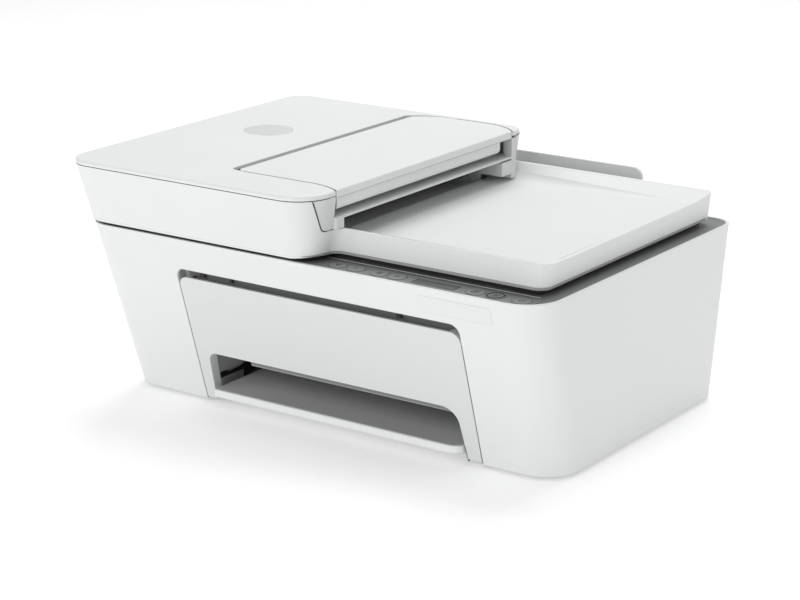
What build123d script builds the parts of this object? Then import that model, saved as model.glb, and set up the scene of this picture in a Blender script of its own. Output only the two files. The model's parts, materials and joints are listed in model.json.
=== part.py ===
"""All-in-one inkjet printer with a flatbed scanner and a sheet feeder in its lid.

Millimetres. X runs to the right, the front looks along -Y, Z is up.
The origin is the middle of the footprint, on the surface the feet stand on.
"""

import os
from math import atan2, cos, pi, sin

from build123d import *

os.makedirs("parts", exist_ok=True)

# Base shell: a box that widens upwards, with a front that leans forward
foot_h = 3.0
rim_z = 146.0
base_mid_x = 1.45
base_half_w = 203.9
base_left_x = base_mid_x - base_half_w
base_right_x = base_mid_x + base_half_w
side_lean = 0.0555
front_foot_y = 105.4
front_lean = 0.303
back_foot_y = 139.6
back_lean = 0.05
wall = 2.5
corner_fl = 24.0
corner_fr = 30.0
corner_back = 18.0
fit = 0.2
running = 0.3

# Lid with the sheet feeder on its left half and the document tray on its right half
lid_gap = 4.5
lid_h = 49.5
plate_h = 4.5
lid_z = rim_z + lid_gap
top_z = lid_z + lid_h
seam_z = top_z - plate_h
lid_back_y = 134.5
feeder_low_x = 17.5
feeder_top_x = 24.0
feeder_low_r = 24.0
feeder_top_r = 28.0
feeder_corner_fl = 22.0
feeder_corner_back = 14.0
lid_floor = 2.5
tray_front_low = 123.4
tray_front_top = 121.2
tray_back_y = 129.2
tray_right_top = base_right_x - 2.35
tray_right_low = tray_right_top - 2.6
tray_edge_z = lid_z + 19.0
tray_back_z = lid_z + 21.5
tray_corner_r = 10.0
blend_r = 9.0
dish_low_z = lid_z + 7.5

# Feeder mouth and its hinged cover
cover_left_x = -76.0
cover_front_y = -120.4
cover_back_y = 126.5
cover_tip_front_y = -128.9
cover_tip_back_y = 112.4
cover_low_z = top_z - 5.7
cover_gap = 0.6
groove_w = 6.7
mouth_floor_z = top_z - 21.0
mouth_bar_h = 1.6
mouth_top_z = mouth_floor_z - 3.2
mouth_front_y = -119.5
mouth_back_y = 98.5
leg_back_y = 112.8
leg_outer_y = 119.6
leg_low_z = tray_edge_z + 0.3

# Front door with the paper outlet, and the tray under it
door_left_x = -122.5
door_right_x = 140.5
door_frame_top_z = rim_z - 26.0
finger_gap_h = 7.0
door_top_z = door_frame_top_z - finger_gap_h
door_low_z = 4.0
door_corner_r = 8.0
door_gap = 0.8
door_t = 2.6
door_pivot_z = 13.0
outlet_top_x = (-109.5, 124.5)
outlet_low_x = (-114.0, 128.6)
outlet_top_z = 47.5
outlet_corner_l = 8.0
outlet_corner_r = 14.0
lip_x = (-110.2, 125.0)
lip_front_y = -114.0
lip_top_z = 15.0
lip_low_z = 9.2


def side_x(z):
    """Half width of the base at a height."""
    return base_half_w + side_lean * z


def front_y(z):
    """Front face at a height."""
    return -(front_foot_y + front_lean * z)


def back_y(z):
    """Back face at a height."""
    return back_foot_y + back_lean * z


def base_span(z, inset=0.0):
    """Left, right, front and back of the base at a height, drawn in by an inset."""
    left = base_mid_x - side_x(z) + inset
    right = base_mid_x + side_x(z) - inset
    return left, right, front_y(z) + inset, back_y(z) - inset


def rounded_outline(span, radii):
    """A rectangle outline whose corners are rounded, front left first, then on round to the right."""
    x0, x1, y0, y1 = span
    with BuildLine() as edge:
        FilletPolyline((x0, y0), (x1, y0), (x1, y1), (x0, y1), radius=radii, close=True)
    make_face(edge.edges())


def tapered(low, high, mode=Mode.ADD):
    """A solid between two rounded outlines, each given as height, span and corner radii."""
    sections = []
    for z, span, radii in (low, high):
        with BuildSketch(Plane.XY.offset(z)) as section:
            rounded_outline(span, radii)
        sections.append(section.sketch)
    loft(sections, ruled=True, mode=mode)


def base_form(z0, z1, inset=0.0, mode=Mode.ADD):
    """The base's leaning box between two heights."""
    radii = [corner_fl - inset, corner_fr - inset, corner_back - inset, corner_back - inset]
    tapered((z0, base_span(z0, inset), radii), (z1, base_span(z1, inset), radii), mode)


def block(x_span, y_span, z_span, mode=Mode.ADD):
    """A plain block between two corners."""
    (x0, x1), (y0, y1), (z0, z1) = x_span, y_span, z_span
    with Locations(((x0 + x1) / 2, (y0 + y1) / 2, (z0 + z1) / 2)):
        Box(x1 - x0, y1 - y0, z1 - z0, mode=mode)


def rod_x(y, z, d, x_span, mode=Mode.ADD):
    """A round bar along X."""
    x0, x1 = x_span
    with Locations(Location(((x0 + x1) / 2, y, z), (0, 90, 0))):
        Cylinder(d / 2, x1 - x0, mode=mode)


def rod_y(x, z, d, y_span, mode=Mode.ADD):
    """A round bar along Y."""
    y0, y1 = y_span
    with Locations(Location((x, (y0 + y1) / 2, z), (90, 0, 0))):
        Cylinder(d / 2, y1 - y0, mode=mode)


def rod_z(x, y, d, z_span, mode=Mode.ADD):
    """A round bar along Z."""
    z0, z1 = z_span
    with Locations((x, y, (z0 + z1) / 2)):
        Cylinder(d / 2, z1 - z0, mode=mode)


def save(piece, name):
    """Label a finished piece and write it out."""
    piece.part.label = name
    export_step(piece.part, f"parts/{name}.step")


# Base pan, feet and outer shell
pan_t = 3.0
pan_notch_y = -92.0
foot_d = 16.0
foot_x = base_half_w - 35.9
foot_front_y = -78.0
foot_back_y = 116.0
pan_top_z = foot_h + pan_t
back_port_x = (base_right_x - 47.35, base_right_x - 27.35)
socket_x = (base_left_x + 52.45, base_left_x + 70.45)
port_z = 40.0
port_h = 18.0
socket_h = 14.0
window_y = (back_foot_y - 20.0, back_foot_y + 20.0)
door_cut_y = (-170.0, -90.0)
below = -10.0
feed_window_x = (-104.0, 118.0)
feed_window_z = (66.0, 100.0)

with BuildPart() as base_pan:
    base_form(foot_h, pan_top_z, wall + fit)
    notch_x = (door_left_x - 4, door_right_x + 4)
    block(notch_x, (2 * front_y(rim_z), pan_notch_y), (0, 2 * pan_top_z), Mode.SUBTRACT)
save(base_pan, "base_pan")

with BuildPart() as feet:
    with BuildSketch():
        for x in (-foot_x, foot_x):
            with Locations((x, foot_front_y), (x, foot_back_y)):
                Circle(foot_d / 2)
    extrude(amount=foot_h)
    chamfer(feet.faces().sort_by(Axis.Z)[0:4].edges(), 0.6)
save(feet, "feet")

with BuildPart() as outer_shell:
    base_form(foot_h, rim_z)
    base_form(foot_h - 1, rim_z + 1, wall, Mode.SUBTRACT)
    with BuildSketch(Plane.XZ.offset(-door_cut_y[1])):
        with BuildLine():
            FilletPolyline(
                (door_left_x, below),
                (door_left_x, door_frame_top_z),
                (door_right_x, door_frame_top_z),
                (door_right_x, below),
                radius=[door_corner_r, door_corner_r],
            )
            Line((door_right_x, below), (door_left_x, below))
        make_face()
    extrude(amount=door_cut_y[1] - door_cut_y[0], mode=Mode.SUBTRACT)
    block(feed_window_x, window_y, feed_window_z, Mode.SUBTRACT)
    block(back_port_x, window_y, (port_z - port_h / 2, port_z + port_h / 2), Mode.SUBTRACT)
    block(socket_x, window_y, (port_z - socket_h / 2, port_z + socket_h / 2), Mode.SUBTRACT)
save(outer_shell, "outer_shell")

# Scanner deck with its glass, the feeder's strip glass and the control panel
deck_t = 6.0
deck_top_z = rim_z - 1.0
deck_low_z = deck_top_z - deck_t
glass_x = (base_left_x + 62.45, base_right_x - 41.35)
glass_y = (-111.0, 111.0)
glass_t = 3.0
glass_seat = 4.0
strip_x = (base_left_x + 26.45, base_left_x + 46.45)
panel_x = (base_right_x - 229.35, base_right_x - 3.85)
panel_y = (-144.6, -125.5)
panel_r = 14.0
panel_t = 3.0
panel_low_z = deck_top_z + 0.3 - panel_t
panel_seat = 3.0
button_d = 14.4
button_y = -136.0
# Each button: how far its middle is from the panel's right end
button_from_right = {
    "wireless": 171.2,
    "information": 154.8,
    "resume": 133.6,
    "cancel": 118.0,
    "copy_mono": 50.1,
    "copy_colour": 33.4,
    "power": 11.4,
}
button_at = {name: panel_x[1] - reach for name, reach in button_from_right.items()}
button_proud = 0.5
button_travel = 0.8
display_x = (panel_x[1] - 103.0, panel_x[1] - 66.0)
display_y = (-141.2, -130.8)
display_t = 1.2
board_t = 1.6


def panel_outline(inset):
    """Outline of the control panel, drawn in or out."""
    span = (panel_x[0] + inset, panel_x[1] - inset, panel_y[0] + inset, panel_y[1] - inset)
    rounded_outline(span, [5.0 - inset / 2, panel_r - inset, 3.0 - inset / 2, 3.0 - inset / 2])


with BuildPart() as scanner_deck:
    base_form(deck_low_z, deck_top_z, wall + fit)
    for x_span, seat in ((glass_x, glass_seat), (strip_x, glass_seat)):
        pocket = (x_span[0] - fit, x_span[1] + fit), (glass_y[0] - fit, glass_y[1] + fit)
        block(*pocket, (deck_top_z - glass_t, rim_z), Mode.SUBTRACT)
        hole = (x_span[0] + seat, x_span[1] - seat), (glass_y[0] + seat, glass_y[1] - seat)
        block(*hole, (deck_low_z - 1, rim_z), Mode.SUBTRACT)
    with BuildSketch(Plane.XY.offset(panel_low_z)):
        panel_outline(-fit)
    extrude(amount=panel_t + 2, mode=Mode.SUBTRACT)
    with BuildSketch(Plane.XY.offset(deck_low_z - 1)):
        panel_outline(panel_seat)
    extrude(amount=panel_t + 8, mode=Mode.SUBTRACT)
save(scanner_deck, "scanner_deck")

with BuildPart() as scanner_glasses:
    for x_span in (glass_x, strip_x):
        block(x_span, glass_y, (deck_top_z - glass_t, deck_top_z))
save(scanner_glasses, "scanner_glasses")

with BuildPart() as control_panel:
    with BuildSketch(Plane.XY.offset(panel_low_z)):
        panel_outline(0)
    extrude(amount=panel_t)
    panel_top_z = panel_low_z + panel_t
    for x in button_at.values():
        rod_z(x, button_y, button_d + 2 * running, (panel_low_z - 1, panel_top_z + 1), Mode.SUBTRACT)
    display_pocket = (display_x[0] - fit, display_x[1] + fit), (display_y[0] - fit, display_y[1] + fit)
    block(*display_pocket, (panel_top_z - display_t, panel_top_z + 1), Mode.SUBTRACT)
save(control_panel, "control_panel")

with BuildPart() as display_window:
    block(display_x, display_y, (panel_top_z - display_t, panel_top_z))
save(display_window, "display_window")

board_x = (panel_x[0] + 2 * panel_r, panel_x[1] - panel_r)
board_y = (panel_y[0] + panel_seat + 1.5, panel_y[1] - panel_seat - fit)

for name, x in button_at.items():
    with BuildPart() as button:
        rod_z(x, button_y, button_d, (panel_low_z + button_travel + fit, panel_top_z + button_proud))
        fillet(button.faces().sort_by(Axis.Z)[-1].edges(), 0.4)
    save(button, f"{name}_button")

# Scan bed, its guide rod and the scan bar
bed_x = (base_left_x + 8.45, base_right_x - 11.35)
bed_y = (-117.0, 117.0)
bed_low_z = deck_low_z - 24.0
bed_t = 2.0
scan_rod_d = 8.0
scan_rod_z = bed_low_z + bed_t + 6.0
scan_bar_w = 18.0
scan_bar_top_z = deck_low_z - 0.6
scan_bar_low_z = scan_rod_z + scan_rod_d / 2 + 1.5
bush_fit = 0.05
scan_park_x = (strip_x[0] + strip_x[1]) / 2

with BuildPart() as scanner_bed:
    block(bed_x, bed_y, (bed_low_z, deck_low_z))
    inner_x = (bed_x[0] + bed_t, bed_x[1] - bed_t)
    inner_y = (bed_y[0] + bed_t, bed_y[1] - bed_t)
    block(inner_x, inner_y, (bed_low_z + bed_t, deck_low_z + 1), Mode.SUBTRACT)
    rod_x(0, scan_rod_z, scan_rod_d, (bed_x[0] - 1, bed_x[1] + 1), Mode.SUBTRACT)
save(scanner_bed, "scanner_bed")

with BuildPart() as scan_bar:
    bar_x = (scan_park_x - scan_bar_w / 2, scan_park_x + scan_bar_w / 2)
    block(bar_x, (glass_y[0] + 1, glass_y[1] - 1), (scan_bar_low_z, scan_bar_top_z))
    block(bar_x, (-11, 11), (bed_low_z + bed_t + running, scan_bar_low_z))
    rod_x(0, scan_rod_z, scan_rod_d + 2 * bush_fit, (bar_x[0] - 1, bar_x[1] + 1), Mode.SUBTRACT)
save(scan_bar, "scan_bar")

# Lid shell: a tall hollow box for the feeder, joined to a low dished tray on the right
tray_left_x = 1.0
rim_w = 5.0
dish_front_y = (-118.5, -97.0)
dish_rear_left_y = (120.0, 128.5)
dish_rear_right_y = (94.0, 122.0)
# Rounding along the dish: front edge, front foot, rear foot, rear edge
dish_r = [8.0, 60.0, 14.0, 3.0]
dish_high_z = tray_edge_z - 0.6
pocket_x = (32.0, tray_right_low - 7.4)
pocket_y = (-112.0, 112.0)
pocket_z = dish_low_z - 3.5
pad_x = (glass_x[0] - 8.0, glass_x[1] + 6.0)
pad_y = (-114.0, 114.0)
pad_low_z = deck_top_z + running
leg_seam_y = (-152.0, -140.4)
leg_seam_r = 5.0
pivot_y = 141.0
pivot_z = lid_z + 6.5
pivot_r = 5.0
pin_d = 5.0
pin_fit = 0.05
arm_w = 9.4
arm_x = (base_left_x + 52.45, base_right_x - 40.35)
ear_w = 6.0
outside = 260.0


def feeder_span(z, inset=0.0):
    """Left, right, front and back of the feeder half at a height."""
    part_up = (z - lid_z) / (seam_z - lid_z)
    right = feeder_low_x + (feeder_top_x - feeder_low_x) * min(part_up, 1.0)
    return base_mid_x - side_x(z) + inset, right - inset, front_y(z) + inset, lid_back_y - inset


def feeder_form(z0, z1, inset=0.0, mode=Mode.ADD):
    """The feeder half between two heights."""
    ends = []
    for z in (z0, z1):
        part_up = min((z - lid_z) / (seam_z - lid_z), 1.0)
        front_right = feeder_low_r + (feeder_top_r - feeder_low_r) * part_up
        radii = [feeder_corner_fl - inset, front_right - inset, feeder_corner_back - inset, corner_back - inset]
        ends.append((z, feeder_span(z, inset), radii))
    tapered(ends[0], ends[1], mode)


def mouth_outline(gap):
    """Side view of the feeder's open right side, with the slanted seam of its front leg."""
    with BuildLine() as edge:
        FilletPolyline(
            (leg_seam_y[0] + gap, seam_z + 2),
            (leg_seam_y[1] + gap, leg_low_z + gap),
            (mouth_front_y, leg_low_z + gap),
            radius=leg_seam_r,
        )
        Polyline(
            (mouth_front_y, leg_low_z + gap),
            (mouth_front_y, dish_low_z),
            (leg_outer_y - gap, dish_low_z),
            (leg_outer_y - gap, seam_z + 2),
            (leg_seam_y[0] + gap, seam_z + 2),
        )
    make_face(edge.edges())


def dish_section(x, floor_z, rear_y):
    """What is hollowed from the tray at one place along X: level edges and a lower floor between."""
    with BuildSketch(Plane.YZ.offset(x)) as section:
        with BuildLine() as edge:
            FilletPolyline(
                (-outside, tray_edge_z),
                (dish_front_y[0], tray_edge_z),
                (dish_front_y[1], floor_z),
                (rear_y[0], floor_z + 0.4),
                (rear_y[1], tray_back_z),
                (outside, tray_back_z),
                radius=dish_r,
            )
            Polyline(
                (outside, tray_back_z),
                (outside, top_z),
                (-outside, top_z),
                (-outside, tray_edge_z),
            )
        make_face(edge.edges())
    return section.sketch


with BuildPart() as dished_tray:
    tray_low = (tray_left_x, tray_right_low, -tray_front_low, tray_back_y)
    tray_high = (tray_left_x, tray_right_top, -tray_front_top, tray_back_y)
    tray_radii = [2.0, tray_corner_r, tray_corner_r, 2.0]
    tapered((lid_z, tray_low, tray_radii), (tray_back_z, tray_high, tray_radii))
    dish_right_x = tray_right_top - rim_w
    dish_start = dish_section(tray_left_x - 1, dish_low_z, dish_rear_left_y)
    dish_left = dish_section(feeder_top_x + 2, dish_low_z, dish_rear_left_y)
    loft([dish_start, dish_left], ruled=True, mode=Mode.SUBTRACT)
    dish_right = dish_section(dish_right_x, dish_high_z, dish_rear_right_y)
    loft([dish_left, dish_right], ruled=True, mode=Mode.SUBTRACT)
    dish_end = dish_section(dish_right_x + 3 * rim_w, dish_high_z, dish_rear_right_y)
    loft([dish_right, dish_end], ruled=True, mode=Mode.SUBTRACT)
    block(pocket_x, pocket_y, (lid_z - 1, pocket_z), Mode.SUBTRACT)

with BuildPart() as lid_shell:
    feeder_form(lid_z, seam_z)
    edge_share = (tray_edge_z - lid_z) / (tray_back_z - lid_z)
    tray_edge_y = tray_front_low + (tray_front_top - tray_front_low) * edge_share
    with BuildSketch(Plane.YZ.offset(tray_left_x)):
        with BuildLine():
            Polyline(
                (-tray_front_low, lid_z),
                (-tray_edge_y, tray_edge_z),
                (dish_front_y[0], tray_edge_z),
                (dish_front_y[0], lid_z),
                close=True,
            )
        make_face()
    extrude(amount=feeder_low_x + 4 * blend_r)
    inner_corner = Vector(feeder_low_x + 1, -tray_front_low + 1, (lid_z + tray_edge_z) / 2)
    fillet(lid_shell.edges().sort_by_distance(inner_corner)[0], blend_r)
    feeder_form(lid_z + lid_floor, seam_z + 1, wall, Mode.SUBTRACT)
    with BuildSketch(Plane.YZ.offset(tray_left_x)):
        mouth_outline(0.0)
    extrude(amount=2 * feeder_top_x, mode=Mode.SUBTRACT)
    add(dished_tray.part)
    slot_x = (strip_x[0] + 2, strip_x[1] - 2)
    block(slot_x, (glass_y[0] + 2, glass_y[1] - 2), (lid_z - 1, lid_z + lid_floor + 1), Mode.SUBTRACT)
    for x, root_y in zip(arm_x, (lid_back_y - wall, tray_back_y - 1)):
        sides = (x - arm_w / 2, x + arm_w / 2)
        block(sides, (root_y, pivot_y), (pivot_z - pivot_r + 0.5, pivot_z + pivot_r - 0.5))
        rod_x(pivot_y, pivot_z, 2 * pivot_r, sides)
        rod_x(pivot_y, pivot_z, pin_d + 2 * pin_fit, (sides[0] - 1, sides[1] + 1), Mode.SUBTRACT)
save(lid_shell, "lid_shell")

with BuildPart() as lid_hinges:
    for x in arm_x:
        for side in (-1, 1):
            near = x + side * (arm_w / 2 + running)
            ear = (min(near, near + side * ear_w), max(near, near + side * ear_w))
            block(ear, (pivot_y - 4, back_y(deck_top_z) - wall - fit), (deck_top_z, pivot_z))
            rod_x(pivot_y, pivot_z, 2 * pivot_r, ear)
            rod_x(pivot_y, pivot_z, pin_d, (ear[0] - 1, ear[1] + 1), Mode.SUBTRACT)
save(lid_hinges, "lid_hinges")

with BuildPart() as hinge_pins:
    for x in arm_x:
        reach = arm_w / 2 + running + ear_w
        rod_x(pivot_y, pivot_z, pin_d, (x - reach, x + reach))
save(hinge_pins, "hinge_pins")

with BuildPart() as backing_pad:
    block(pad_x, pad_y, (pad_low_z, lid_z))
    fillet(backing_pad.edges().filter_by(Axis.Z), 4)
save(backing_pad, "backing_pad")

# Feeder chassis: side plates, the sheet inlet's floor and the two legs of the mouth
chassis_x = (base_left_x + 14.45, -2.0)
chassis_front_y = (-118.0, -115.0)
chassis_back_y = (104.0, 107.0)
chassis_top_z = seam_z - 2.5
inlet_left_x = -62.0
shaft_d = 6.0
shaft_fit = 0.05
# Each roller: place along X, height, rubber diameter
feeder_rollers = {
    "pick_roller": (-32.0, mouth_floor_z + 8.0, 13.0),
    "turn_roller": (scan_park_x + 48.0, lid_z + 22.5, 28.0),
    "press_roller": (scan_park_x, lid_z + 10.5, 14.0),
    "exit_roller": (-12.0, mouth_floor_z - 12.0, 12.0),
}
pick_grip_y = (-22.0, 14.0)
leg_t = 8.0
leg_foot_gap = 2.8

with BuildPart() as feeder_chassis:
    feeder_form(leg_low_z, seam_z)
    feeder_form(leg_low_z - 1, seam_z + 1, wall + 2.0, Mode.SUBTRACT)
    with BuildSketch(Plane.YZ.offset(tray_left_x + 2)):
        mouth_outline(fit)
    extrude(amount=2 * feeder_top_x, mode=Mode.INTERSECT)
    open_x = (0, 4 * feeder_top_x)
    block(open_x, (mouth_front_y, leg_outer_y + 1), (dish_low_z - 1, top_z), Mode.SUBTRACT)
    block(open_x, (cover_tip_front_y, leg_outer_y + 1), (mouth_floor_z, top_z), Mode.SUBTRACT)
    leg_x = (feeder_top_x - leg_t, feeder_top_x)
    leg_top_z = cover_low_z - running
    block(open_x, (cover_tip_front_y - cover_gap, outside), (leg_top_z, top_z), Mode.SUBTRACT)
    block(leg_x, (cover_tip_front_y + fit, mouth_front_y), (leg_low_z + fit, mouth_floor_z))
    block(leg_x, (leg_back_y, leg_outer_y - fit), (dish_low_z + leg_foot_gap, leg_top_z))
    block((tray_left_x + 1, feeder_top_x), (mouth_back_y, leg_back_y), (dish_low_z + 6.5, mouth_top_z))
    block((inlet_left_x, feeder_top_x), (cover_tip_front_y + fit, leg_outer_y - fit),
          (mouth_floor_z - mouth_bar_h, mouth_floor_z))
    for y_span in (chassis_front_y, chassis_back_y):
        block(chassis_x, y_span, (lid_z + lid_floor, chassis_top_z))
    for x, z, d in feeder_rollers.values():
        rod_y(x, z, shaft_d + 2 * shaft_fit, (chassis_front_y[0] - 1, chassis_back_y[1] + 1), Mode.SUBTRACT)
save(feeder_chassis, "feeder_chassis")

for name, (x, z, d) in feeder_rollers.items():
    grip = pick_grip_y if name == "pick_roller" else (chassis_front_y[1] + 6, chassis_back_y[0] - 6)
    with BuildPart() as roller:
        rod_y(x, z, d, grip)
        rod_y(x, z, shaft_d, (chassis_front_y[0] - 3, chassis_back_y[1] + 3))
    save(roller, f"feeder_{name}")

# Feeder cover, hinged along its left edge, and the fixed top plate around it
cover_skin = 2.5
cover_corner_r = 6.0
cover_hinge_x = cover_left_x - groove_w / 2
cover_hinge_z = top_z - 4.0
cover_hinge_d = 4.0
guide_lip_x = (feeder_top_x - 16.0, feeder_top_x - 1.0)
guide_lip_y = (cover_tip_front_y + 1.5, mouth_back_y - 2.0)
guide_lip_low_z = mouth_floor_z + 4.8
guide_lip_t = 1.8
guide_lip_r = 5.0
guide_lip_inset = 1.0
cover_edge_r = 0.5
# Where the seams at the cover's front and back start to bow, and by how much they do so on the way
front_bow_x = (-2.0, 12.0)
front_bow = 2.8
back_bow_x = (-8.0, 11.0)
back_bow = 4.6
back_turn_x = -40.0
back_turn = (12.0, 4.5)
back_left_in = 14.0
top_edge_r = 2.0
seam_gap = 0.6
badge_d = 40.0
badge_t = 0.6
badge_at = (-142.5, 3.0)


def cover_outline(grow, left_x, right_x):
    """Plan of the cover: straight along the hinge, with bowed seams at front and back."""
    front, back = cover_front_y - grow, cover_back_y + grow
    tip_front, tip_back = cover_tip_front_y - grow, cover_tip_back_y + grow
    left_back = back - back_left_in
    right_front, right_back = (feeder_top_x, tip_front), (feeder_top_x, tip_back)
    with BuildLine() as edge:
        Line((left_x, left_back), (left_x, front + cover_corner_r))
        RadiusArc((left_x, front + cover_corner_r), (left_x + cover_corner_r, front), -cover_corner_r)
        Line((left_x + cover_corner_r, front), (front_bow_x[0], front))
        ThreePointArc((front_bow_x[0], front), (front_bow_x[1], front - front_bow), right_front)
        if right_x > feeder_top_x:
            Line(right_front, (right_x, tip_front))
            Line((right_x, tip_front), (right_x, tip_back))
            Line((right_x, tip_back), right_back)
        else:
            Line(right_front, right_back)
        ThreePointArc(right_back, (back_bow_x[1], back - back_bow), (back_bow_x[0], back))
        Line((back_bow_x[0], back), (back_turn_x, back))
        turn = left_x + back_turn[0], back - back_turn[1]
        ThreePointArc((back_turn_x, back), turn, (left_x, left_back))
    make_face(edge.edges())


with BuildPart() as guide_lip:
    with BuildSketch(Plane.XZ.offset(-guide_lip_y[1])):
        lip_in, lip_out = guide_lip_x
        lip_root_z = cover_low_z + 1
        with BuildLine() as edge:
            FilletPolyline(
                (lip_out, lip_root_z), (lip_out, guide_lip_low_z), (lip_in, guide_lip_low_z), radius=guide_lip_r
            )
            Line((lip_in, guide_lip_low_z), (lip_in, guide_lip_low_z + guide_lip_t))
            FilletPolyline(
                (lip_in, guide_lip_low_z + guide_lip_t),
                (lip_out - guide_lip_t, guide_lip_low_z + guide_lip_t),
                (lip_out - guide_lip_t, lip_root_z),
                radius=guide_lip_r - guide_lip_t,
            )
            Line((lip_out - guide_lip_t, lip_root_z), (lip_out, lip_root_z))
        make_face(edge.edges())
    extrude(amount=guide_lip_y[1] - guide_lip_y[0])
    with BuildSketch(Plane.XY.offset(guide_lip_low_z - 1)):
        cover_outline(-guide_lip_inset, cover_left_x, feeder_top_x)
    extrude(amount=top_z - guide_lip_low_z, mode=Mode.INTERSECT)

with BuildPart() as feeder_cover:
    with BuildSketch(Plane.XY.offset(cover_low_z)):
        cover_outline(0.0, cover_left_x, feeder_top_x)
    extrude(amount=top_z - cover_low_z)
    hollow_x = (cover_left_x + 3, feeder_top_x - 4)
    block(hollow_x, (cover_front_y + 5, cover_tip_back_y - 5), (cover_low_z - 1, top_z - cover_skin), Mode.SUBTRACT)
    fillet(feeder_cover.faces().sort_by(Axis.Z)[-1].edges().sort_by(Axis.X)[-1], cover_edge_r)
    add(guide_lip.part)
    hinge_y = (cover_front_y + 14, cover_back_y - 24)
    block((cover_hinge_x, cover_left_x), hinge_y, (cover_hinge_z - 1.5, cover_hinge_z + 0.5))
    rod_y(cover_hinge_x, cover_hinge_z, cover_hinge_d, hinge_y)
save(feeder_cover, "feeder_cover")

with BuildPart() as top_plate:
    feeder_form(seam_z + seam_gap, top_z)
    fillet(top_plate.faces().sort_by(Axis.Z)[-1].edges(), top_edge_r)
    feeder_form(seam_z, seam_z + seam_gap, 2 * seam_gap)
    with BuildSketch(Plane.XY.offset(seam_z - 1)):
        cover_outline(cover_gap, cover_left_x - groove_w, feeder_top_x + 20)
    extrude(amount=10, mode=Mode.SUBTRACT)
    rod_z(*badge_at, badge_d + 2 * fit, (top_z - badge_t, top_z + 1), Mode.SUBTRACT)
save(top_plate, "top_plate")

with BuildPart() as badge:
    rod_z(*badge_at, badge_d, (top_z - badge_t, top_z))
save(badge, "badge")

# Front frame: cheeks beside the door, a beam behind its finger gap and the door's pivot pins
cheek_t = 2.5
cheek_y = -60.0
beam_z = (door_frame_top_z - 15.0, door_frame_top_z + 3.0)
beam_t = 2.5
door_pivot_y = front_y(door_pivot_z) + 8.0
door_pin_d = 5.0
door_pin_fit = 0.08
door_depth = 9.0
door_skin_y = door_t * (1 + front_lean**2) ** 0.5
boss_w = 3.0
boss_r = 5.5
rail_h = 3.0
rail_t = 2.0


def front_slab(near, far, z_span):
    """A slab that follows the leaning front between two depths behind it, across the whole width."""
    z0, z1 = z_span
    with BuildSketch(Plane.YZ) as section:
        with BuildLine() as edge:
            Polyline(
                (front_y(z0) + near, z0),
                (front_y(z1) + near, z1),
                (front_y(z1) + far, z1),
                (front_y(z0) + far, z0),
                close=True,
            )
        make_face(edge.edges())
    extrude(section.sketch, amount=outside, both=True)


def outlet_outline(grow, mode=Mode.ADD):
    """The paper outlet in the door, open at its foot."""
    with BuildLine() as edge:
        FilletPolyline(
            (outlet_low_x[0] - grow, below),
            (outlet_top_x[0] - grow, outlet_top_z + grow),
            (outlet_top_x[1] + grow, outlet_top_z + grow),
            (outlet_low_x[1] + grow, below),
            radius=[outlet_corner_l + grow, outlet_corner_r + grow],
        )
        Line((outlet_low_x[1] + grow, below), (outlet_low_x[0] - grow, below))
    make_face(edge.edges(), mode=mode)


def door_outline(inset):
    """The door's own outline, drawn in."""
    with BuildLine() as edge:
        FilletPolyline(
            (door_left_x + inset, door_low_z + inset),
            (door_left_x + inset, door_top_z),
            (door_right_x - inset, door_top_z),
            (door_right_x - inset, door_low_z + inset),
            radius=[door_corner_r, door_corner_r],
        )
        Line((door_right_x - inset, door_low_z + inset), (door_left_x + inset, door_low_z + inset))
    make_face(edge.edges())


with BuildPart() as door_hollow:
    front_slab(door_skin_y, 3 * door_depth, (0, rim_z))
    with BuildSketch(Plane.XZ):
        door_outline(door_gap + door_t)
        outlet_outline(door_t, Mode.SUBTRACT)
    extrude(amount=outside, mode=Mode.INTERSECT)

pin_reach = door_gap + boss_w - running
boss_spans = (
    (door_left_x + door_gap, door_left_x + door_gap + boss_w),
    (door_right_x - door_gap - boss_w, door_right_x - door_gap),
)

with BuildPart() as front_door:
    front_slab(0.0, door_depth, (0, rim_z))
    with BuildSketch(Plane.XZ):
        door_outline(door_gap)
        outlet_outline(0.0, Mode.SUBTRACT)
    extrude(amount=outside, mode=Mode.INTERSECT)
    add(door_hollow.part, mode=Mode.SUBTRACT)
    rail_x = (outlet_top_x[0] + outlet_corner_l, outlet_top_x[1] - outlet_corner_r)
    rail_y = front_y(outlet_top_z) + door_depth
    block(rail_x, (rail_y - rail_t, rail_y), (outlet_top_z - rail_h, outlet_top_z + door_t / 2))
    for span in boss_spans:
        rod_x(door_pivot_y, door_pivot_z, 2 * boss_r, span)
        bore = (span[0] - 2 * door_t, span[1] + 2 * door_t)
        rod_x(door_pivot_y, door_pivot_z, door_pin_d + 2 * door_pin_fit, bore, Mode.SUBTRACT)
save(front_door, "front_door")

with BuildPart() as front_frame:
    front_slab(door_depth + 0.6, door_depth + 0.6 + beam_t, beam_z)
    block((door_left_x, door_right_x), (-outside, outside), (0, rim_z), Mode.INTERSECT)
    for inner, outer, reach in (
        (door_left_x, door_left_x - cheek_t, pin_reach),
        (door_right_x, door_right_x + cheek_t, -pin_reach),
    ):
        with BuildSketch(Plane.YZ.offset(min(inner, outer))):
            with BuildLine():
                Polyline(
                    (front_y(pan_top_z) + wall + fit, pan_top_z),
                    (front_y(beam_z[1]) + wall + fit, beam_z[1]),
                    (bed_y[0] - 1, beam_z[1]),
                    (bed_y[0] - 1, bed_low_z - 1),
                    (cheek_y, bed_low_z - 1),
                    (cheek_y, pan_top_z),
                    close=True,
                )
            make_face()
        extrude(amount=cheek_t)
        pin = (min(inner, inner + reach), max(inner, inner + reach))
        rod_x(door_pivot_y, door_pivot_z, door_pin_d, pin)
save(front_frame, "front_frame")

# Paper tray under the outlet
tray_t = 2.6
tray_rear_y = 16.0
skirt_t = 3.0
runner_x = (-92.0, 104.0)
runner_w = 4.0
lip_corner_l = 2.5
lip_corner_r = 12.0

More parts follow.
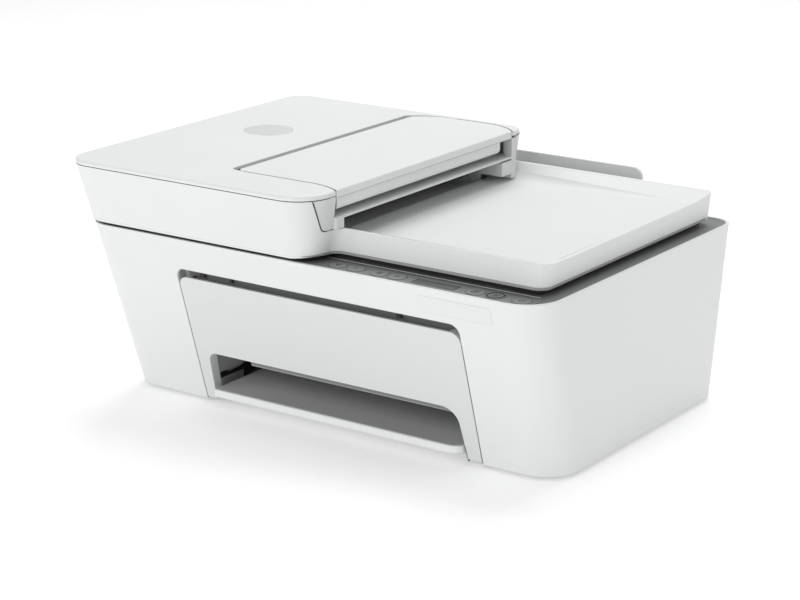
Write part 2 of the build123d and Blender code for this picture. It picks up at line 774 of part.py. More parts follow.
with BuildPart() as output_tray:
    with BuildSketch(Plane.XY.offset(lip_low_z)):
        span = (lip_x[0], lip_x[1], lip_front_y, tray_rear_y)
        rounded_outline(span, [lip_corner_l, lip_corner_r, 2.0, 2.0])
    extrude(amount=lip_top_z - lip_low_z)
    hollow = (lip_x[0] - 1, lip_x[1] + 1), (lip_front_y + lip_corner_r, tray_rear_y + 1)
    block(*hollow, (lip_low_z - 1, lip_top_z - tray_t), Mode.SUBTRACT)
    inner = (lip_x[0] + skirt_t, lip_x[1] - lip_corner_r), (lip_front_y + skirt_t, lip_front_y + lip_corner_r + 1)
    block(*inner, (lip_low_z - 1, lip_top_z - tray_t), Mode.SUBTRACT)
    for x in runner_x:
        block((x, x + runner_w), (pan_notch_y + 2, tray_rear_y), (pan_top_z + running, lip_top_z - tray_t))
    fillet(output_tray.faces().sort_by(Axis.Z)[-1].edges().sort_by(Axis.Y)[0], 1.0)
save(output_tray, "output_tray")

# Print mechanism: sheet metal chassis, rollers and their gears
side_t = 1.5
frame_x = (base_left_x + 10.45, base_right_x - 10.35)
frame_y = (0.0, 98.0)
frame_top_z = bed_low_z - 3.0
park_x = frame_x[1] - 57.0
station_x = (park_x - 14.0, park_x + 48.0)
roller_x = (frame_x[0] + 88.0, station_x[0] - 6.0)
grip_count = 6
grip_w = 10.0
wheel_w = 2.0
grip_step = (roller_x[1] - roller_x[0] - 27.0) / (grip_count - 1)
feed_y, feed_z, feed_d = 60.0, 34.0, 16.0
out_y, out_z, out_d = 8.0, 30.0, 10.0
axle_d = 8.0
star_d = 8.0
star_axle_d = 3.0
star_z = out_z + out_d / 2 + 0.4 + star_d / 2
carriage_rod_d = 9.0
carriage_rod_y, carriage_rod_z = 66.0, 84.0
gear_x = (frame_x[0] - 5.0, frame_x[0] - 1.0)
gear_module = 1.0
feed_teeth, idler_teeth, out_teeth, pinion_teeth = 30, 26, 24, 12
belt_y = 87.0
belt_z = (74.0, 80.0)
pulley_d = 10.0
pulley_x = (frame_x[0] + 12.0, frame_x[1] - 11.0)
pinion_axle_d = 3.0
pinion_at = (feed_y, feed_z + gear_module * (feed_teeth + pinion_teeth) / 2)


def spur_gear(centre, teeth, phase, x_span, bore):
    """A spur gear about an axis along X, with one tooth centred on the phase angle in the YZ plane."""
    pitch_r = gear_module * teeth / 2
    pitch = 2 * pi / teeth
    points = []
    for tooth in range(teeth):
        for share, r in ((-0.29, -1.15), (-0.11, 0.8), (0.11, 0.8), (0.29, -1.15)):
            turn = phase + pitch * (tooth + share)
            reach = pitch_r + r * gear_module
            points.append((centre[0] + reach * cos(turn), centre[1] + reach * sin(turn)))
    with BuildSketch(Plane.YZ.offset(x_span[0])) as section:
        with BuildLine() as edge:
            Polyline(*points, close=True)
        make_face(edge.edges())
        if bore:
            with Locations(centre):
                Circle(bore / 2, mode=Mode.SUBTRACT)
    extrude(section.sketch, amount=x_span[1] - x_span[0])


def bearing(start, end):
    """Angle of the line from one shaft to another in the YZ plane."""
    return atan2(end[1] - start[1], end[0] - start[0])


def mesh_phase(driver_phase, driver_teeth, driven_teeth, angle):
    """Phase of a driven gear whose gaps meet the driver's teeth along the line of centres."""
    driver_pitch = 2 * pi / driver_teeth
    driven_pitch = 2 * pi / driven_teeth
    lead = (angle - driver_phase) % driver_pitch
    return angle + pi + lead * driver_teeth / driven_teeth + driven_pitch / 2


feed_at = (feed_y, feed_z)
out_at = (out_y, out_z)
feed_to_idler = gear_module * (feed_teeth + idler_teeth) / 2
idler_to_out = gear_module * (idler_teeth + out_teeth) / 2
span_yz = ((feed_y - out_y) ** 2 + (feed_z - out_z) ** 2) ** 0.5
along = (feed_to_idler**2 - idler_to_out**2 + span_yz**2) / (2 * span_yz)
aside = (feed_to_idler**2 - along**2) ** 0.5
line_angle = bearing(feed_at, out_at)
idler_at = (
    feed_y + along * cos(line_angle) + aside * sin(line_angle),
    feed_z + along * sin(line_angle) - aside * cos(line_angle),
)
feed_phase = bearing(feed_at, idler_at)
idler_phase = mesh_phase(feed_phase, feed_teeth, idler_teeth, feed_phase)
out_phase = mesh_phase(idler_phase, idler_teeth, out_teeth, bearing(idler_at, out_at))
pinion_phase = mesh_phase(feed_phase, feed_teeth, pinion_teeth, bearing(feed_at, pinion_at))
axle_span = (gear_x[0], frame_x[1] + 2)

with BuildPart() as print_chassis:
    block(frame_x, (frame_y[0], frame_y[1] + side_t), (pan_top_z, frame_top_z))
    inside_x = (frame_x[0] + side_t, frame_x[1] - side_t)
    block(inside_x, (frame_y[0] - 1, frame_y[1]), (pan_top_z - 1, frame_top_z + 1), Mode.SUBTRACT)
    block(feed_window_x, (frame_y[1] - 1, frame_y[1] + 5), feed_window_z, Mode.SUBTRACT)
    through = (frame_x[0] - 1, frame_x[1] + 1)
    rod_x(carriage_rod_y, carriage_rod_z, carriage_rod_d, through, Mode.SUBTRACT)
    for y, z, d in ((feed_y, feed_z, axle_d), (out_y, out_z, axle_d), (out_y, star_z, star_axle_d)):
        rod_x(y, z, d + 2 * shaft_fit, through, Mode.SUBTRACT)
    rod_x(*pinion_at, pinion_axle_d + 2 * shaft_fit, (through[0], 0), Mode.SUBTRACT)
    block((pulley_x[0] - 7, pulley_x[0] + 7), (belt_y - 7, frame_y[1]), (belt_z[0] - 5, belt_z[0] - 2))
    rod_z(pulley_x[0], belt_y, 4.0, (belt_z[0] - 5, belt_z[1] + 1))
    rod_x(*idler_at, axle_d / 2, (gear_x[0], frame_x[0]))
save(print_chassis, "print_chassis")

with BuildPart() as guide_rods:
    rod_x(carriage_rod_y, carriage_rod_z, carriage_rod_d, frame_x)
    rod_x(0, scan_rod_z, scan_rod_d, bed_x)
save(guide_rods, "guide_rods")

with BuildPart() as feed_roller:
    rod_x(feed_y, feed_z, feed_d, roller_x)
    rod_x(feed_y, feed_z, axle_d, axle_span)
save(feed_roller, "feed_roller")

with BuildPart() as feed_gear:
    spur_gear(feed_at, feed_teeth, feed_phase, gear_x, axle_d)
save(feed_gear, "feed_gear")

with BuildPart() as exit_roller:
    rod_x(out_y, out_z, axle_d, axle_span)
    for step in range(grip_count):
        x = roller_x[0] + 12 + step * grip_step
        rod_x(out_y, out_z, out_d, (x, x + grip_w))
save(exit_roller, "exit_roller")

with BuildPart() as exit_gear:
    spur_gear(out_at, out_teeth, out_phase, gear_x, axle_d)
save(exit_gear, "exit_gear")

with BuildPart() as idler_gear:
    spur_gear(idler_at, idler_teeth, idler_phase, gear_x, axle_d / 2 + 2 * shaft_fit)
save(idler_gear, "idler_gear")

with BuildPart() as motor_pinion:
    spur_gear(pinion_at, pinion_teeth, pinion_phase, gear_x, None)
    rod_x(*pinion_at, pinion_axle_d, (gear_x[1], frame_x[0] + side_t + 4))
save(motor_pinion, "motor_pinion")

with BuildPart() as star_wheels:
    rod_x(out_y, star_z, star_axle_d, (frame_x[0] - 0.5, frame_x[1] + 0.5))
    for step in range(grip_count):
        x = roller_x[0] + 16 + step * grip_step
        rod_x(out_y, star_z, star_d, (x, x + wheel_w))
save(star_wheels, "star_wheels")

# Motors, carriage belt and its pulleys
motor_d = 18.0
feed_motor_l = 20.0
carriage_motor_z = (34.0, 66.0)
motor_axle_d = 3.0
belt_t = 1.0
belt_gap = 0.3

with BuildPart() as drive_motors:
    motor_x = frame_x[0] + side_t
    rod_x(*pinion_at, motor_d, (motor_x, motor_x + feed_motor_l))
    rod_x(*pinion_at, pinion_axle_d + 2 * shaft_fit, (motor_x - 1, motor_x + 5), Mode.SUBTRACT)
    rod_z(pulley_x[1], frame_y[1] - motor_d / 2, motor_d, carriage_motor_z)
    rod_z(pulley_x[1], belt_y, 3 * motor_axle_d, (carriage_motor_z[1], belt_z[0] - 1))
    rod_z(pulley_x[1], belt_y, motor_axle_d + 2 * shaft_fit, (carriage_motor_z[1] - 6, belt_z[0]), Mode.SUBTRACT)
save(drive_motors, "drive_motors")

with BuildPart() as drive_pulley:
    rod_z(pulley_x[1], belt_y, pulley_d, belt_z)
    rod_z(pulley_x[1], belt_y, motor_axle_d, (carriage_motor_z[1] - 5, belt_z[1]))
save(drive_pulley, "drive_pulley")

with BuildPart() as idler_pulley:
    rod_z(pulley_x[0], belt_y, pulley_d, belt_z)
    rod_z(pulley_x[0], belt_y, 4.0 + 2 * shaft_fit, (belt_z[0] - 1, belt_z[1] + 1), Mode.SUBTRACT)
save(idler_pulley, "idler_pulley")

with BuildPart() as carriage_belt:
    belt_r = pulley_d / 2 + belt_gap
    with BuildSketch(Plane.XY.offset(belt_z[0])):
        with Locations(((pulley_x[0] + pulley_x[1]) / 2, belt_y)):
            SlotCenterToCenter(pulley_x[1] - pulley_x[0], 2 * (belt_r + belt_t))
            SlotCenterToCenter(pulley_x[1] - pulley_x[0], 2 * belt_r, mode=Mode.SUBTRACT)
    extrude(amount=belt_z[1] - belt_z[0])
save(carriage_belt, "carriage_belt")

# Carriage with its two cartridges and their latches, parked at the right
carriage_w = 92.0
carriage_y = (16.0, 78.0)
carriage_z = (44.0, bed_low_z - 7.0)
bay_w = 38.0
bay_x = (-22.0, 22.0)
bay_y = (19.0, 55.0)
bay_floor = 4.0
nozzle_w = 20.0
nozzle_z = 39.6
cartridge_top_z = carriage_z[1] - 8.0
latch_t = 3.0
latch_z = (62.0, carriage_z[1] - 4.0)
latch_pin_d = 3.0

with BuildPart() as carriage:
    block((park_x - carriage_w / 2, park_x + carriage_w / 2), carriage_y, carriage_z)
    for offset_x in bay_x:
        x = park_x + offset_x
        block((x - bay_w / 2, x + bay_w / 2), bay_y, (carriage_z[0] + bay_floor, carriage_z[1] + 1), Mode.SUBTRACT)
        hole = nozzle_w / 2 + running
        mid_y = (bay_y[0] + bay_y[1]) / 2
        block((x - hole, x + hole), (mid_y - hole, mid_y + hole), (carriage_z[0] - 1, carriage_z[1]), Mode.SUBTRACT)
    across = (park_x - carriage_w, park_x + carriage_w)
    rod_x(carriage_rod_y, carriage_rod_z, carriage_rod_d + 2 * bush_fit, across, Mode.SUBTRACT)
    grip_y = belt_y - belt_r - belt_t - running
    block((park_x - 12, park_x + 12), (carriage_y[1], grip_y), (belt_z[0] - 2, belt_z[1] + 2))
    for offset_x in bay_x:
        x = park_x + offset_x
        for side in (-1, 1):
            ear_x = x + side * (bay_w / 2 - 1)
            ear = (ear_x - 1, ear_x + 1)
            block(ear, (carriage_y[0] - 6, carriage_y[0]), (latch_z[0] - 3, latch_z[0] + 3))
        rod_x(carriage_y[0] - 3, latch_z[0], latch_pin_d, (x - bay_w / 2, x + bay_w / 2))
save(carriage, "carriage")

for name, offset_x in zip(("black", "colour"), bay_x):
    x = park_x + offset_x
    with BuildPart() as cartridge:
        body_y = (bay_y[0] + running, bay_y[1] - running)
        body_x = (x - bay_w / 2 + running, x + bay_w / 2 - running)
        block(body_x, body_y, (carriage_z[0] + bay_floor, cartridge_top_z))
        mid_y = (bay_y[0] + bay_y[1]) / 2
        half = nozzle_w / 2
        block((x - half, x + half), (mid_y - half, mid_y + half), (nozzle_z, carriage_z[0] + bay_floor))
    save(cartridge, f"{name}_cartridge")
    with BuildPart() as latch:
        latch_x = (x - bay_w / 2 + 2 + running, x + bay_w / 2 - 2 - running)
        latch_y = (carriage_y[0] - running - latch_t, carriage_y[0] - running)
        block(latch_x, latch_y, latch_z)
        rod_x(carriage_y[0] - 3, latch_z[0], latch_pin_d + 3, latch_x)
        rod_x(carriage_y[0] - 3, latch_z[0], latch_pin_d + 2 * shaft_fit, (x - bay_w, x + bay_w), Mode.SUBTRACT)
        block(latch_x, (carriage_y[0] - running, carriage_y[0] + 9), (latch_z[0] - 9, latch_z[0] + 9), Mode.SUBTRACT)
    save(latch, f"{name}_cartridge_latch")

# Platen, service station, encoder strip, boards and rear sockets
platen_y = (24.0, 48.0)
platen_z = (pan_top_z, 36.0)
rib_count = 10
rib_w = 2.0
rib_h = 1.2
rib_step = (roller_x[1] - roller_x[0] - 33.0) / (rib_count - 1)
station_y = (18.0, 56.0)
station_top_z = 32.0
board_z = (14.0, 58.0)
main_board_x = (20.0, base_right_x - 25.35)
standoff = 4.0
standoff_d = 5.0
supply_x = (base_left_x + 30.45, base_left_x + 92.45)
supply_y = (104.0, 131.0)
supply_top_z = 60.0
port_set_back = 0.6
port_size = (16.0, 12.0)
port_hole = (12.0, 8.0)
port_hole_depth = 9.0
socket_wall = (1.8, 1.8)
prong_d = 2.2
encoder_y = 95.6
encoder_t = 0.4
encoder_z = (frame_top_z - 16.0, frame_top_z - 6.0)

with BuildPart() as platen:
    block(roller_x, platen_y, platen_z)
    block(roller_x, (platen_y[0] + wall, platen_y[1] - wall), (platen_z[0] - 1, platen_z[1] - wall), Mode.SUBTRACT)
    for step in range(rib_count):
        x = roller_x[0] + 14 + step * rib_step
        block((x, x + rib_w), platen_y, (platen_z[1], platen_z[1] + rib_h))
save(platen, "platen")

with BuildPart() as service_station:
    block(station_x, station_y, (pan_top_z, station_top_z))
    for offset_x in bay_x:
        x = park_x + offset_x
        half = nozzle_w / 2 + 1
        mid_y = (bay_y[0] + bay_y[1]) / 2
        left = max(x - half, station_x[0])
        block((left, x + half), (mid_y - half, mid_y + half), (station_top_z, nozzle_z - running))
save(service_station, "service_station")

with BuildPart() as encoder_strip:
    block((frame_x[0] + side_t, frame_x[1] - side_t), (encoder_y, encoder_y + encoder_t), encoder_z)
save(encoder_strip, "encoder_strip")

with BuildPart() as circuit_boards:
    block(board_x, board_y, (panel_low_z - board_t, panel_low_z))
    near_y = frame_y[1] + side_t + standoff
    block(main_board_x, (near_y, near_y + board_t), board_z)
    for x in (main_board_x[0] + 6, main_board_x[1] - 6):
        for z in (board_z[0] + 6, board_z[1] - 6):
            rod_y(x, z, standoff_d, (near_y - standoff, near_y))
save(circuit_boards, "circuit_boards")

with BuildPart() as rear_sockets:
    mid_x = (back_port_x[0] + back_port_x[1]) / 2
    face_y = back_y(port_z) - port_set_back
    hole_y = (back_y(port_z) - port_hole_depth, outside)
    port_w, port_d = port_size[0] / 2, port_size[1] / 2
    block((mid_x - port_w, mid_x + port_w), (near_y + board_t, face_y), (port_z - port_d, port_z + port_d))
    hole_w, hole_d = port_hole[0] / 2, port_hole[1] / 2
    block((mid_x - hole_w, mid_x + hole_w), hole_y, (port_z - hole_d, port_z + hole_d), Mode.SUBTRACT)
    half_h = socket_h / 2 - fit
    block((socket_x[0] + fit, socket_x[1] - fit), (supply_y[1], face_y), (port_z - half_h, port_z + half_h))
    inner_x = (socket_x[0] + fit + socket_wall[0], socket_x[1] - fit - socket_wall[0])
    inner_h = half_h - socket_wall[1]
    block(inner_x, (hole_y[0] + 1, outside), (port_z - inner_h, port_z + inner_h), Mode.SUBTRACT)
    for side in (-1, 1):
        prong_x = sum(socket_x) / 2 + side * (inner_x[1] - inner_x[0]) * 2 / 7
        rod_y(prong_x, port_z, prong_d, (hole_y[0], back_y(port_z) - 2))
save(rear_sockets, "rear_sockets")

with BuildPart() as power_supply:
    block(supply_x, supply_y, (pan_top_z, supply_top_z))
    fillet(power_supply.edges().filter_by(Axis.Z), 2)
save(power_supply, "power_supply")

# Rear sheet feed: a chute on the back wall, a tilting support with a pull-out, and a width guide
chute_x = (-112.0, 126.0)
chute_z = (58.0, rim_z + 3.0)
chute_back_y = 165.3
chute_wall_top_z = chute_z[1] - 29.0
chute_t = 2.5
support_x = (-104.0, 119.5)
support_y = (160.0, 163.0)
support_low_z = chute_wall_top_z + 2.0
support_top_z = support_low_z + 50.5
support_corner_r = 8.0
support_pin_d = 4.0
support_pin_z = support_low_z + 3.0
support_pin_l = 5.0
puller_x = (-56.0, 72.0)
puller_y = (163.2, 165.2)
puller_top_z = support_top_z - 4.5
guide_x = (106.0, 110.0)
guide_z = (chute_z[1] - 45.0, chute_z[1] - 5.0)

with BuildPart() as rear_chute:
    block(chute_x, (back_foot_y - 4, chute_back_y), chute_z)
    base_form(0, rim_z + 20, -fit, Mode.SUBTRACT)
    slot_x = (chute_x[0] + chute_t, chute_x[1] - chute_t)
    slot_y = (back_y(rim_z) + fit + chute_t, chute_back_y - chute_t)
    block(slot_x, slot_y, (chute_z[0] + chute_t, chute_z[1] + 1), Mode.SUBTRACT)
    block(slot_x, (slot_y[0], outside), (chute_wall_top_z, chute_z[1] + 1), Mode.SUBTRACT)
    block(feed_window_x, (back_foot_y - 5, slot_y[0] + 1), (chute_z[0] + chute_t, feed_window_z[1]), Mode.SUBTRACT)
    pin_y = (support_y[0] + support_y[1]) / 2
    pin_spans = (slot_x[0], support_x[0] + support_pin_l), (support_x[1] - support_pin_l, slot_x[1])
    for span in pin_spans:
        rod_x(pin_y, support_pin_z, support_pin_d, span)
save(rear_chute, "rear_chute")

with BuildPart() as paper_support:
    with BuildSketch(Plane.XZ.offset(-support_y[1])):
        with BuildLine():
            FilletPolyline(
                (support_x[0], support_low_z),
                (support_x[0], support_top_z),
                (support_x[1], support_top_z),
                (support_x[1], support_low_z),
                radius=[support_corner_r, support_corner_r],
            )
            Line((support_x[1], support_low_z), (support_x[0], support_low_z))
        make_face()
    extrude(amount=support_y[1] - support_y[0])
    knuckle_l = support_pin_l + 3.0
    for end in ((support_x[0], support_x[0] + knuckle_l), (support_x[1] - knuckle_l, support_x[1])):
        rod_x(pin_y, support_pin_z, support_pin_d + 3.0, end)
    for start, stop in pin_spans:
        rod_x(pin_y, support_pin_z, support_pin_d + 2 * shaft_fit, (start - running, stop + running), Mode.SUBTRACT)
save(paper_support, "paper_support")

with BuildPart() as support_puller:
    block(puller_x, puller_y, (support_low_z + 6, puller_top_z))
    fillet(support_puller.edges().filter_by(Axis.Y), 4)
save(support_puller, "support_puller")

with BuildPart() as width_guide:
    block(guide_x, (slot_y[0] + running, support_y[0] - running - 1.8), guide_z)
    block((guide_x[0] - 10, guide_x[1]), (slot_y[0] + running, slot_y[0] + running + 2), (guide_z[0], guide_z[0] + 16))
save(width_guide, "width_guide")

# Screws that hold the pan to the feet corners of the shell
screw_d = 6.0
screw_l = 2.2

with BuildPart() as screws:
    for x in (-foot_x + 20, foot_x - 20):
        for y in (foot_front_y, foot_back_y):
            rod_z(x, y, screw_d, (foot_h - screw_l, foot_h))
            block((x - 2, x + 2), (y - 0.5, y + 0.5), (foot_h - screw_l - 1, foot_h - screw_l + 1), Mode.SUBTRACT)
save(screws, "screws")
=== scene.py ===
# %% [markdown]
# # Dressing an all-in-one inkjet printer
# The printer already exists as a set of exact CAD solids, and those solids are the frame that everything
# here hangs on. Blender adds what a solid cannot say: the grain of moulded plastic, brushed metal, printed
# key marks, and the light of a photographer's white room. Nothing here changes a size.

# %% Load the frame
import json
import math

import bmesh
import bpy
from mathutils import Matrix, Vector


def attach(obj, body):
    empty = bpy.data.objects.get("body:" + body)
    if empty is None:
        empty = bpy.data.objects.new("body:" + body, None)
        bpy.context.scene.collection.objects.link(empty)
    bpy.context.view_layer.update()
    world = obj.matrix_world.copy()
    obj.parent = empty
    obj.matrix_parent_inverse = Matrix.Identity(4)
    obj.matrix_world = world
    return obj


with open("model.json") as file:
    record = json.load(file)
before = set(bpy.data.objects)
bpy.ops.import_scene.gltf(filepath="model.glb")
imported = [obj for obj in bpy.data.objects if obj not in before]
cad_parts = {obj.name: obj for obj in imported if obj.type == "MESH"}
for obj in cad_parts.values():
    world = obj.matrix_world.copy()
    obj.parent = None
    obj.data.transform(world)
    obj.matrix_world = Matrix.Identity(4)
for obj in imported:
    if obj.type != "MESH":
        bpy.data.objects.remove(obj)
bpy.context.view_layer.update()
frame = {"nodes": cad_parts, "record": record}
MM = 0.001
scene = bpy.context.scene

# %% [markdown]
# ## The camera
# A product photograph is taken with a long lens from a few feet away, so that upright edges stay nearly
# parallel. The camera could be nudged by eye until it looks right, but straight edges of known direction in
# a photograph fix the lens and the place by calculation. These are the results of that calculation, in
# millimetres and in pixels of an image 800 wide.

# %% Camera
photo_width_px = 800
focal_px = 2289.8
sensor_mm = 36.0
eye = Vector((997.3, -1442.3, 608.9)) * MM
aim = Vector((6.5, -22.1, 86.4)) * MM

lens = bpy.data.cameras.new("product_camera")
lens.sensor_fit = "HORIZONTAL"
lens.sensor_width = sensor_mm
lens.lens = focal_px * sensor_mm / photo_width_px
lens.clip_start = 0.05
camera = bpy.data.objects.new("product_camera", lens)
camera.location = eye
camera.rotation_euler = (aim - eye).to_track_quat("-Z", "Y").to_euler()
scene.collection.objects.link(camera)
scene.camera = camera
print("lens, mm:", round(lens.lens, 2))

# %% [markdown]
# ## One small tool for shader sums
# A material is a web of nodes, and wiring each node by hand hides the idea behind it. One small class wraps
# a socket so that sums can be written as Python sums, and one method adds any other node. Every finish below
# is then a few lines that read like a recipe.


# %% Shader sums
class Tone:
    """A shader socket that takes part in sums as a number does."""

    def __init__(self, tree, socket=None):
        self.tree = tree
        self.socket = socket

    def feed(self, port, value):
        """Sets an input, or links it when the value is another tone."""
        if isinstance(value, Tone):
            self.tree.links.new(value.socket, port)
        else:
            port.default_value = value

    def node(self, kind, settings, inputs, out=0):
        """Adds a node: its settings first, then the values or links of its inputs."""
        made = self.tree.nodes.new(kind)
        for key, value in settings.items():
            setattr(made, key, value)
        for key, value in inputs.items():
            self.feed(made.inputs[key], value)
        return Tone(self.tree, made.outputs[out])

    def sum(self, operation, first, second):
        """A Math node of two numbers or tones."""
        return self.node("ShaderNodeMath", {"operation": operation}, {0: first, 1: second})

    def __add__(self, other):
        return self.sum("ADD", self, other)

    __radd__ = __add__

    def __mul__(self, other):
        return self.sum("MULTIPLY", self, other)

    __rmul__ = __mul__


def new_finish(name):
    """An empty material with its shader, and a tone to build on."""
    material = bpy.data.materials.new(name)
    material.use_nodes = True
    tree = material.node_tree
    shader = tree.nodes["Principled BSDF"]
    return material, shader, Tone(tree)


def object_place(tone):
    """Where a point of the surface is, in the object's own metres."""
    return tone.node("ShaderNodeTexCoord", {}, {}, out=3)


def mix_colour(tone, factor, low, high):
    """A colour between two colours."""
    return tone.node(
        "ShaderNodeMix",
        {"data_type": "RGBA"},
        {0: factor, 6: (*low, 1.0), 7: (*high, 1.0)},
        out=2,
    )


def noise(tone, place, scale, detail=2.0):
    """Soft noise from 0 to 1, with its features about 1 / scale metres across."""
    return tone.node("ShaderNodeTexNoise", {}, {"Vector": place, "Scale": scale, "Detail": detail})


print("shader tools ready")

# %% [markdown]
# ## Moulded plastic
# The case is white polystyrene with a spark-eroded skin: under a loupe it is covered in pits a third of a
# millimetre across, which is why it has no sharp reflections. A plain rough shader looks like chalk. A fine
# bump, a trace of unevenness in the gloss, and rounded edges that catch light are what make it read as
# plastic. The edge rounding is done in the shader, so that the solids keep their exact faces.

# %% Plastic finishes
skin_grain_mm = 0.35
skin_depth_mm = 0.012
cloud_scale = 14.0
cloud_gloss, grain_gloss = 0.08, 0.06
edge_samples = 6


def moulded_plastic(name, colour, roughness, grain_mm=skin_grain_mm, depth_mm=skin_depth_mm, edge_mm=0.5):
    """Plastic from a textured mould, with softened edges."""
    spread = 0.015
    material, shader, tone = new_finish(name)
    place = object_place(tone)
    grain = noise(tone, place, 1 / (grain_mm * MM))
    cloud = noise(tone, place, cloud_scale)
    darker = [c * (1 - spread) for c in colour]
    lighter = [min(1.0, c * (1 + spread)) for c in colour]
    tone.feed(shader.inputs["Base Color"], mix_colour(tone, cloud, darker, lighter))
    mean_rough = roughness - (cloud_gloss + grain_gloss) / 2
    tone.feed(shader.inputs["Roughness"], cloud * cloud_gloss + (grain * grain_gloss + mean_rough))
    soft_edge = tone.node("ShaderNodeBevel", {"samples": edge_samples}, {"Radius": edge_mm * MM})
    bump_inputs = {"Strength": 0.35, "Distance": depth_mm * MM, "Height": grain, "Normal": soft_edge}
    tone.feed(shader.inputs["Normal"], tone.node("ShaderNodeBump", {}, bump_inputs))
    return material


finishes = {
    "white_shell": moulded_plastic("white_shell", (0.80, 0.815, 0.81), 0.5),
    "grey_trim": moulded_plastic("grey_trim", (0.60, 0.61, 0.61), 0.5),
    "grey_inner": moulded_plastic("grey_inner", (0.55, 0.56, 0.56), 0.5),
    "dark_parts": moulded_plastic("dark_parts", (0.022, 0.022, 0.024), 0.45),
    "button_plastic": moulded_plastic("button_plastic", (0.23, 0.235, 0.235), 0.4, depth_mm=0.004),
    "acetal": moulded_plastic("acetal", (0.78, 0.78, 0.74), 0.38, depth_mm=0.003),
    "foam": moulded_plastic("foam", (0.84, 0.84, 0.83), 0.7, grain_mm=0.8, depth_mm=0.05),
    "rubber": moulded_plastic("rubber", (0.018, 0.018, 0.018), 0.8, grain_mm=0.5, depth_mm=0.04),
}
print("plastic finishes:", sorted(finishes))

# %% [markdown]
# ## Metal, glass and the rest
# Sheet steel shows faint rolling lines along one direction, turned brass shows rings, and the round badge on
# the lid is brushed aluminium. All three are the same metal shader with noise stretched in a different way,
# so one recipe with a stretch is enough. Glass and the display window are smooth, and get a film of dust
# instead. The circuit boards inside are green lacquer over copper tracks, and a brick pattern stands for
# those.

# %% Metal and glass finishes
line_gloss = 0.16
dust_gloss = 0.05
track_gloss = 0.1


def drawn_metal(name, colour, roughness, stretch):
    """Metal with fine lines, drawn out along the axis whose stretch is smallest."""
    material, shader, tone = new_finish(name)
    pulled = tone.node("ShaderNodeMapping", {}, {"Vector": object_place(tone), "Scale": stretch})
    lines = noise(tone, pulled, 1.0, 4.0)
    tone.feed(shader.inputs["Base Color"], mix_colour(tone, lines, [c * 0.92 for c in colour], colour))
    tone.feed(shader.inputs["Roughness"], lines * line_gloss + (roughness - line_gloss / 2))
    bump = tone.node("ShaderNodeBump", {}, {"Strength": 0.2, "Distance": 0.01 * MM, "Height": lines})
    tone.feed(shader.inputs["Normal"], bump)
    shader.inputs["Metallic"].default_value = 1.0
    return material


def clear_glass(name, colour, roughness, see_through):
    """Smooth glass or clear plastic with a trace of dust."""
    material, shader, tone = new_finish(name)
    dust = noise(tone, object_place(tone), 60.0, 6.0)
    tone.feed(shader.inputs["Base Color"], mix_colour(tone, dust, colour, [c * 0.96 for c in colour]))
    tone.feed(shader.inputs["Roughness"], dust * dust_gloss + roughness)
    shader.inputs["Transmission Weight"].default_value = see_through
    return material


def circuit_board(name):
    """Green solder mask over copper tracks."""
    mask_dark, mask_light = (0.012, 0.07, 0.03), (0.03, 0.13, 0.05)
    material, shader, tone = new_finish(name)
    bricks = {"Vector": object_place(tone), "Scale": 90.0}
    tracks = tone.node("ShaderNodeTexBrick", {}, bricks, out=1)
    tone.feed(shader.inputs["Base Color"], mix_colour(tone, tracks, mask_dark, mask_light))
    tone.feed(shader.inputs["Roughness"], tracks * track_gloss + 0.3)
    return material


finishes["steel"] = drawn_metal("steel", (0.62, 0.62, 0.63), 0.34, (40.0, 1800.0, 1800.0))
finishes["brass"] = drawn_metal("brass", (0.75, 0.58, 0.27), 0.3, (2500.0, 300.0, 300.0))
finishes["badge_metal"] = drawn_metal("badge_metal", (0.90, 0.905, 0.905), 0.42, (60.0, 2600.0, 400.0))
finishes["glass"] = clear_glass("glass", (0.93, 0.97, 0.96), 0.02, 1.0)
finishes["display"] = clear_glass("display", (0.10, 0.105, 0.105), 0.12, 0.0)
finishes["board"] = circuit_board("board")
print("all finishes:", sorted(finishes))

# %% [markdown]
# ## Giving each solid its finish
# The imported record says which material slot each solid belongs to. Following it keeps one list of truth, and
# a solid that needs its own look gets it by name afterwards: the grey panel and deck, and white pieces a shade
# apart from the case. The feeder's leg gets a darker white, painted shade for its side turned from the light,
# and the paper support shares that white. The door is a shade darker than the case. The tray's lip is a
# lighter white, painted light against the shadow of the door above it.

# %% Assign the finishes


def paint(node, material):
    """Gives a solid one finish."""
    skin = frame["nodes"][node].data.materials
    skin.clear()
    skin.append(material)


for entry in frame["record"]["subparts"]:
    paint(entry["node"], finishes[entry["material_slot"]])

panel_grey = moulded_plastic("panel_grey", (0.22, 0.225, 0.225), 0.45)
# a darker copy of the case white: painted shade for the leg's side turned from the light
painted_shade_white = moulded_plastic("painted_shade_white", (0.74, 0.755, 0.75), 0.5)
own_finish = {
    "control_panel": panel_grey,
    "scanner_deck": panel_grey,
    "feeder_chassis": painted_shade_white,
    "paper_support": painted_shade_white,
    "front_door": moulded_plastic("door_white", (0.72, 0.735, 0.73), 0.5),
    # the lip's lighter white is painted light against the door's shadow
    "output_tray": moulded_plastic("lip_painted_light_white", (0.88, 0.89, 0.885), 0.5),
}
for node, material in own_finish.items():
    paint(node, material)

# %% [markdown]
# ## The white room
# The printer stands in a white room: a pale floor, a bright sky on every side, and four large soft lights.
# The strongest hangs above and behind, so that the tops are the lightest faces. A weak one at the front left,
# one in front and a weaker one at the right give the sides their turn of tone. A single lamp would give hard
# shadows, and a sky alone would leave the faces flat, so the two are mixed.

# %% Floor and light
scene.view_settings.view_transform = "Standard"
sky_strength = 0.48
floor_glow = 0.26
floor_half = 12.0
white = (1.0, 1.0, 1.0, 1.0)

room = bpy.data.worlds.new("white_room")
room.use_nodes = True
sky = room.node_tree.nodes["Background"]
sky.inputs["Color"].default_value = white
sky.inputs["Strength"].default_value = sky_strength
scene.world = room

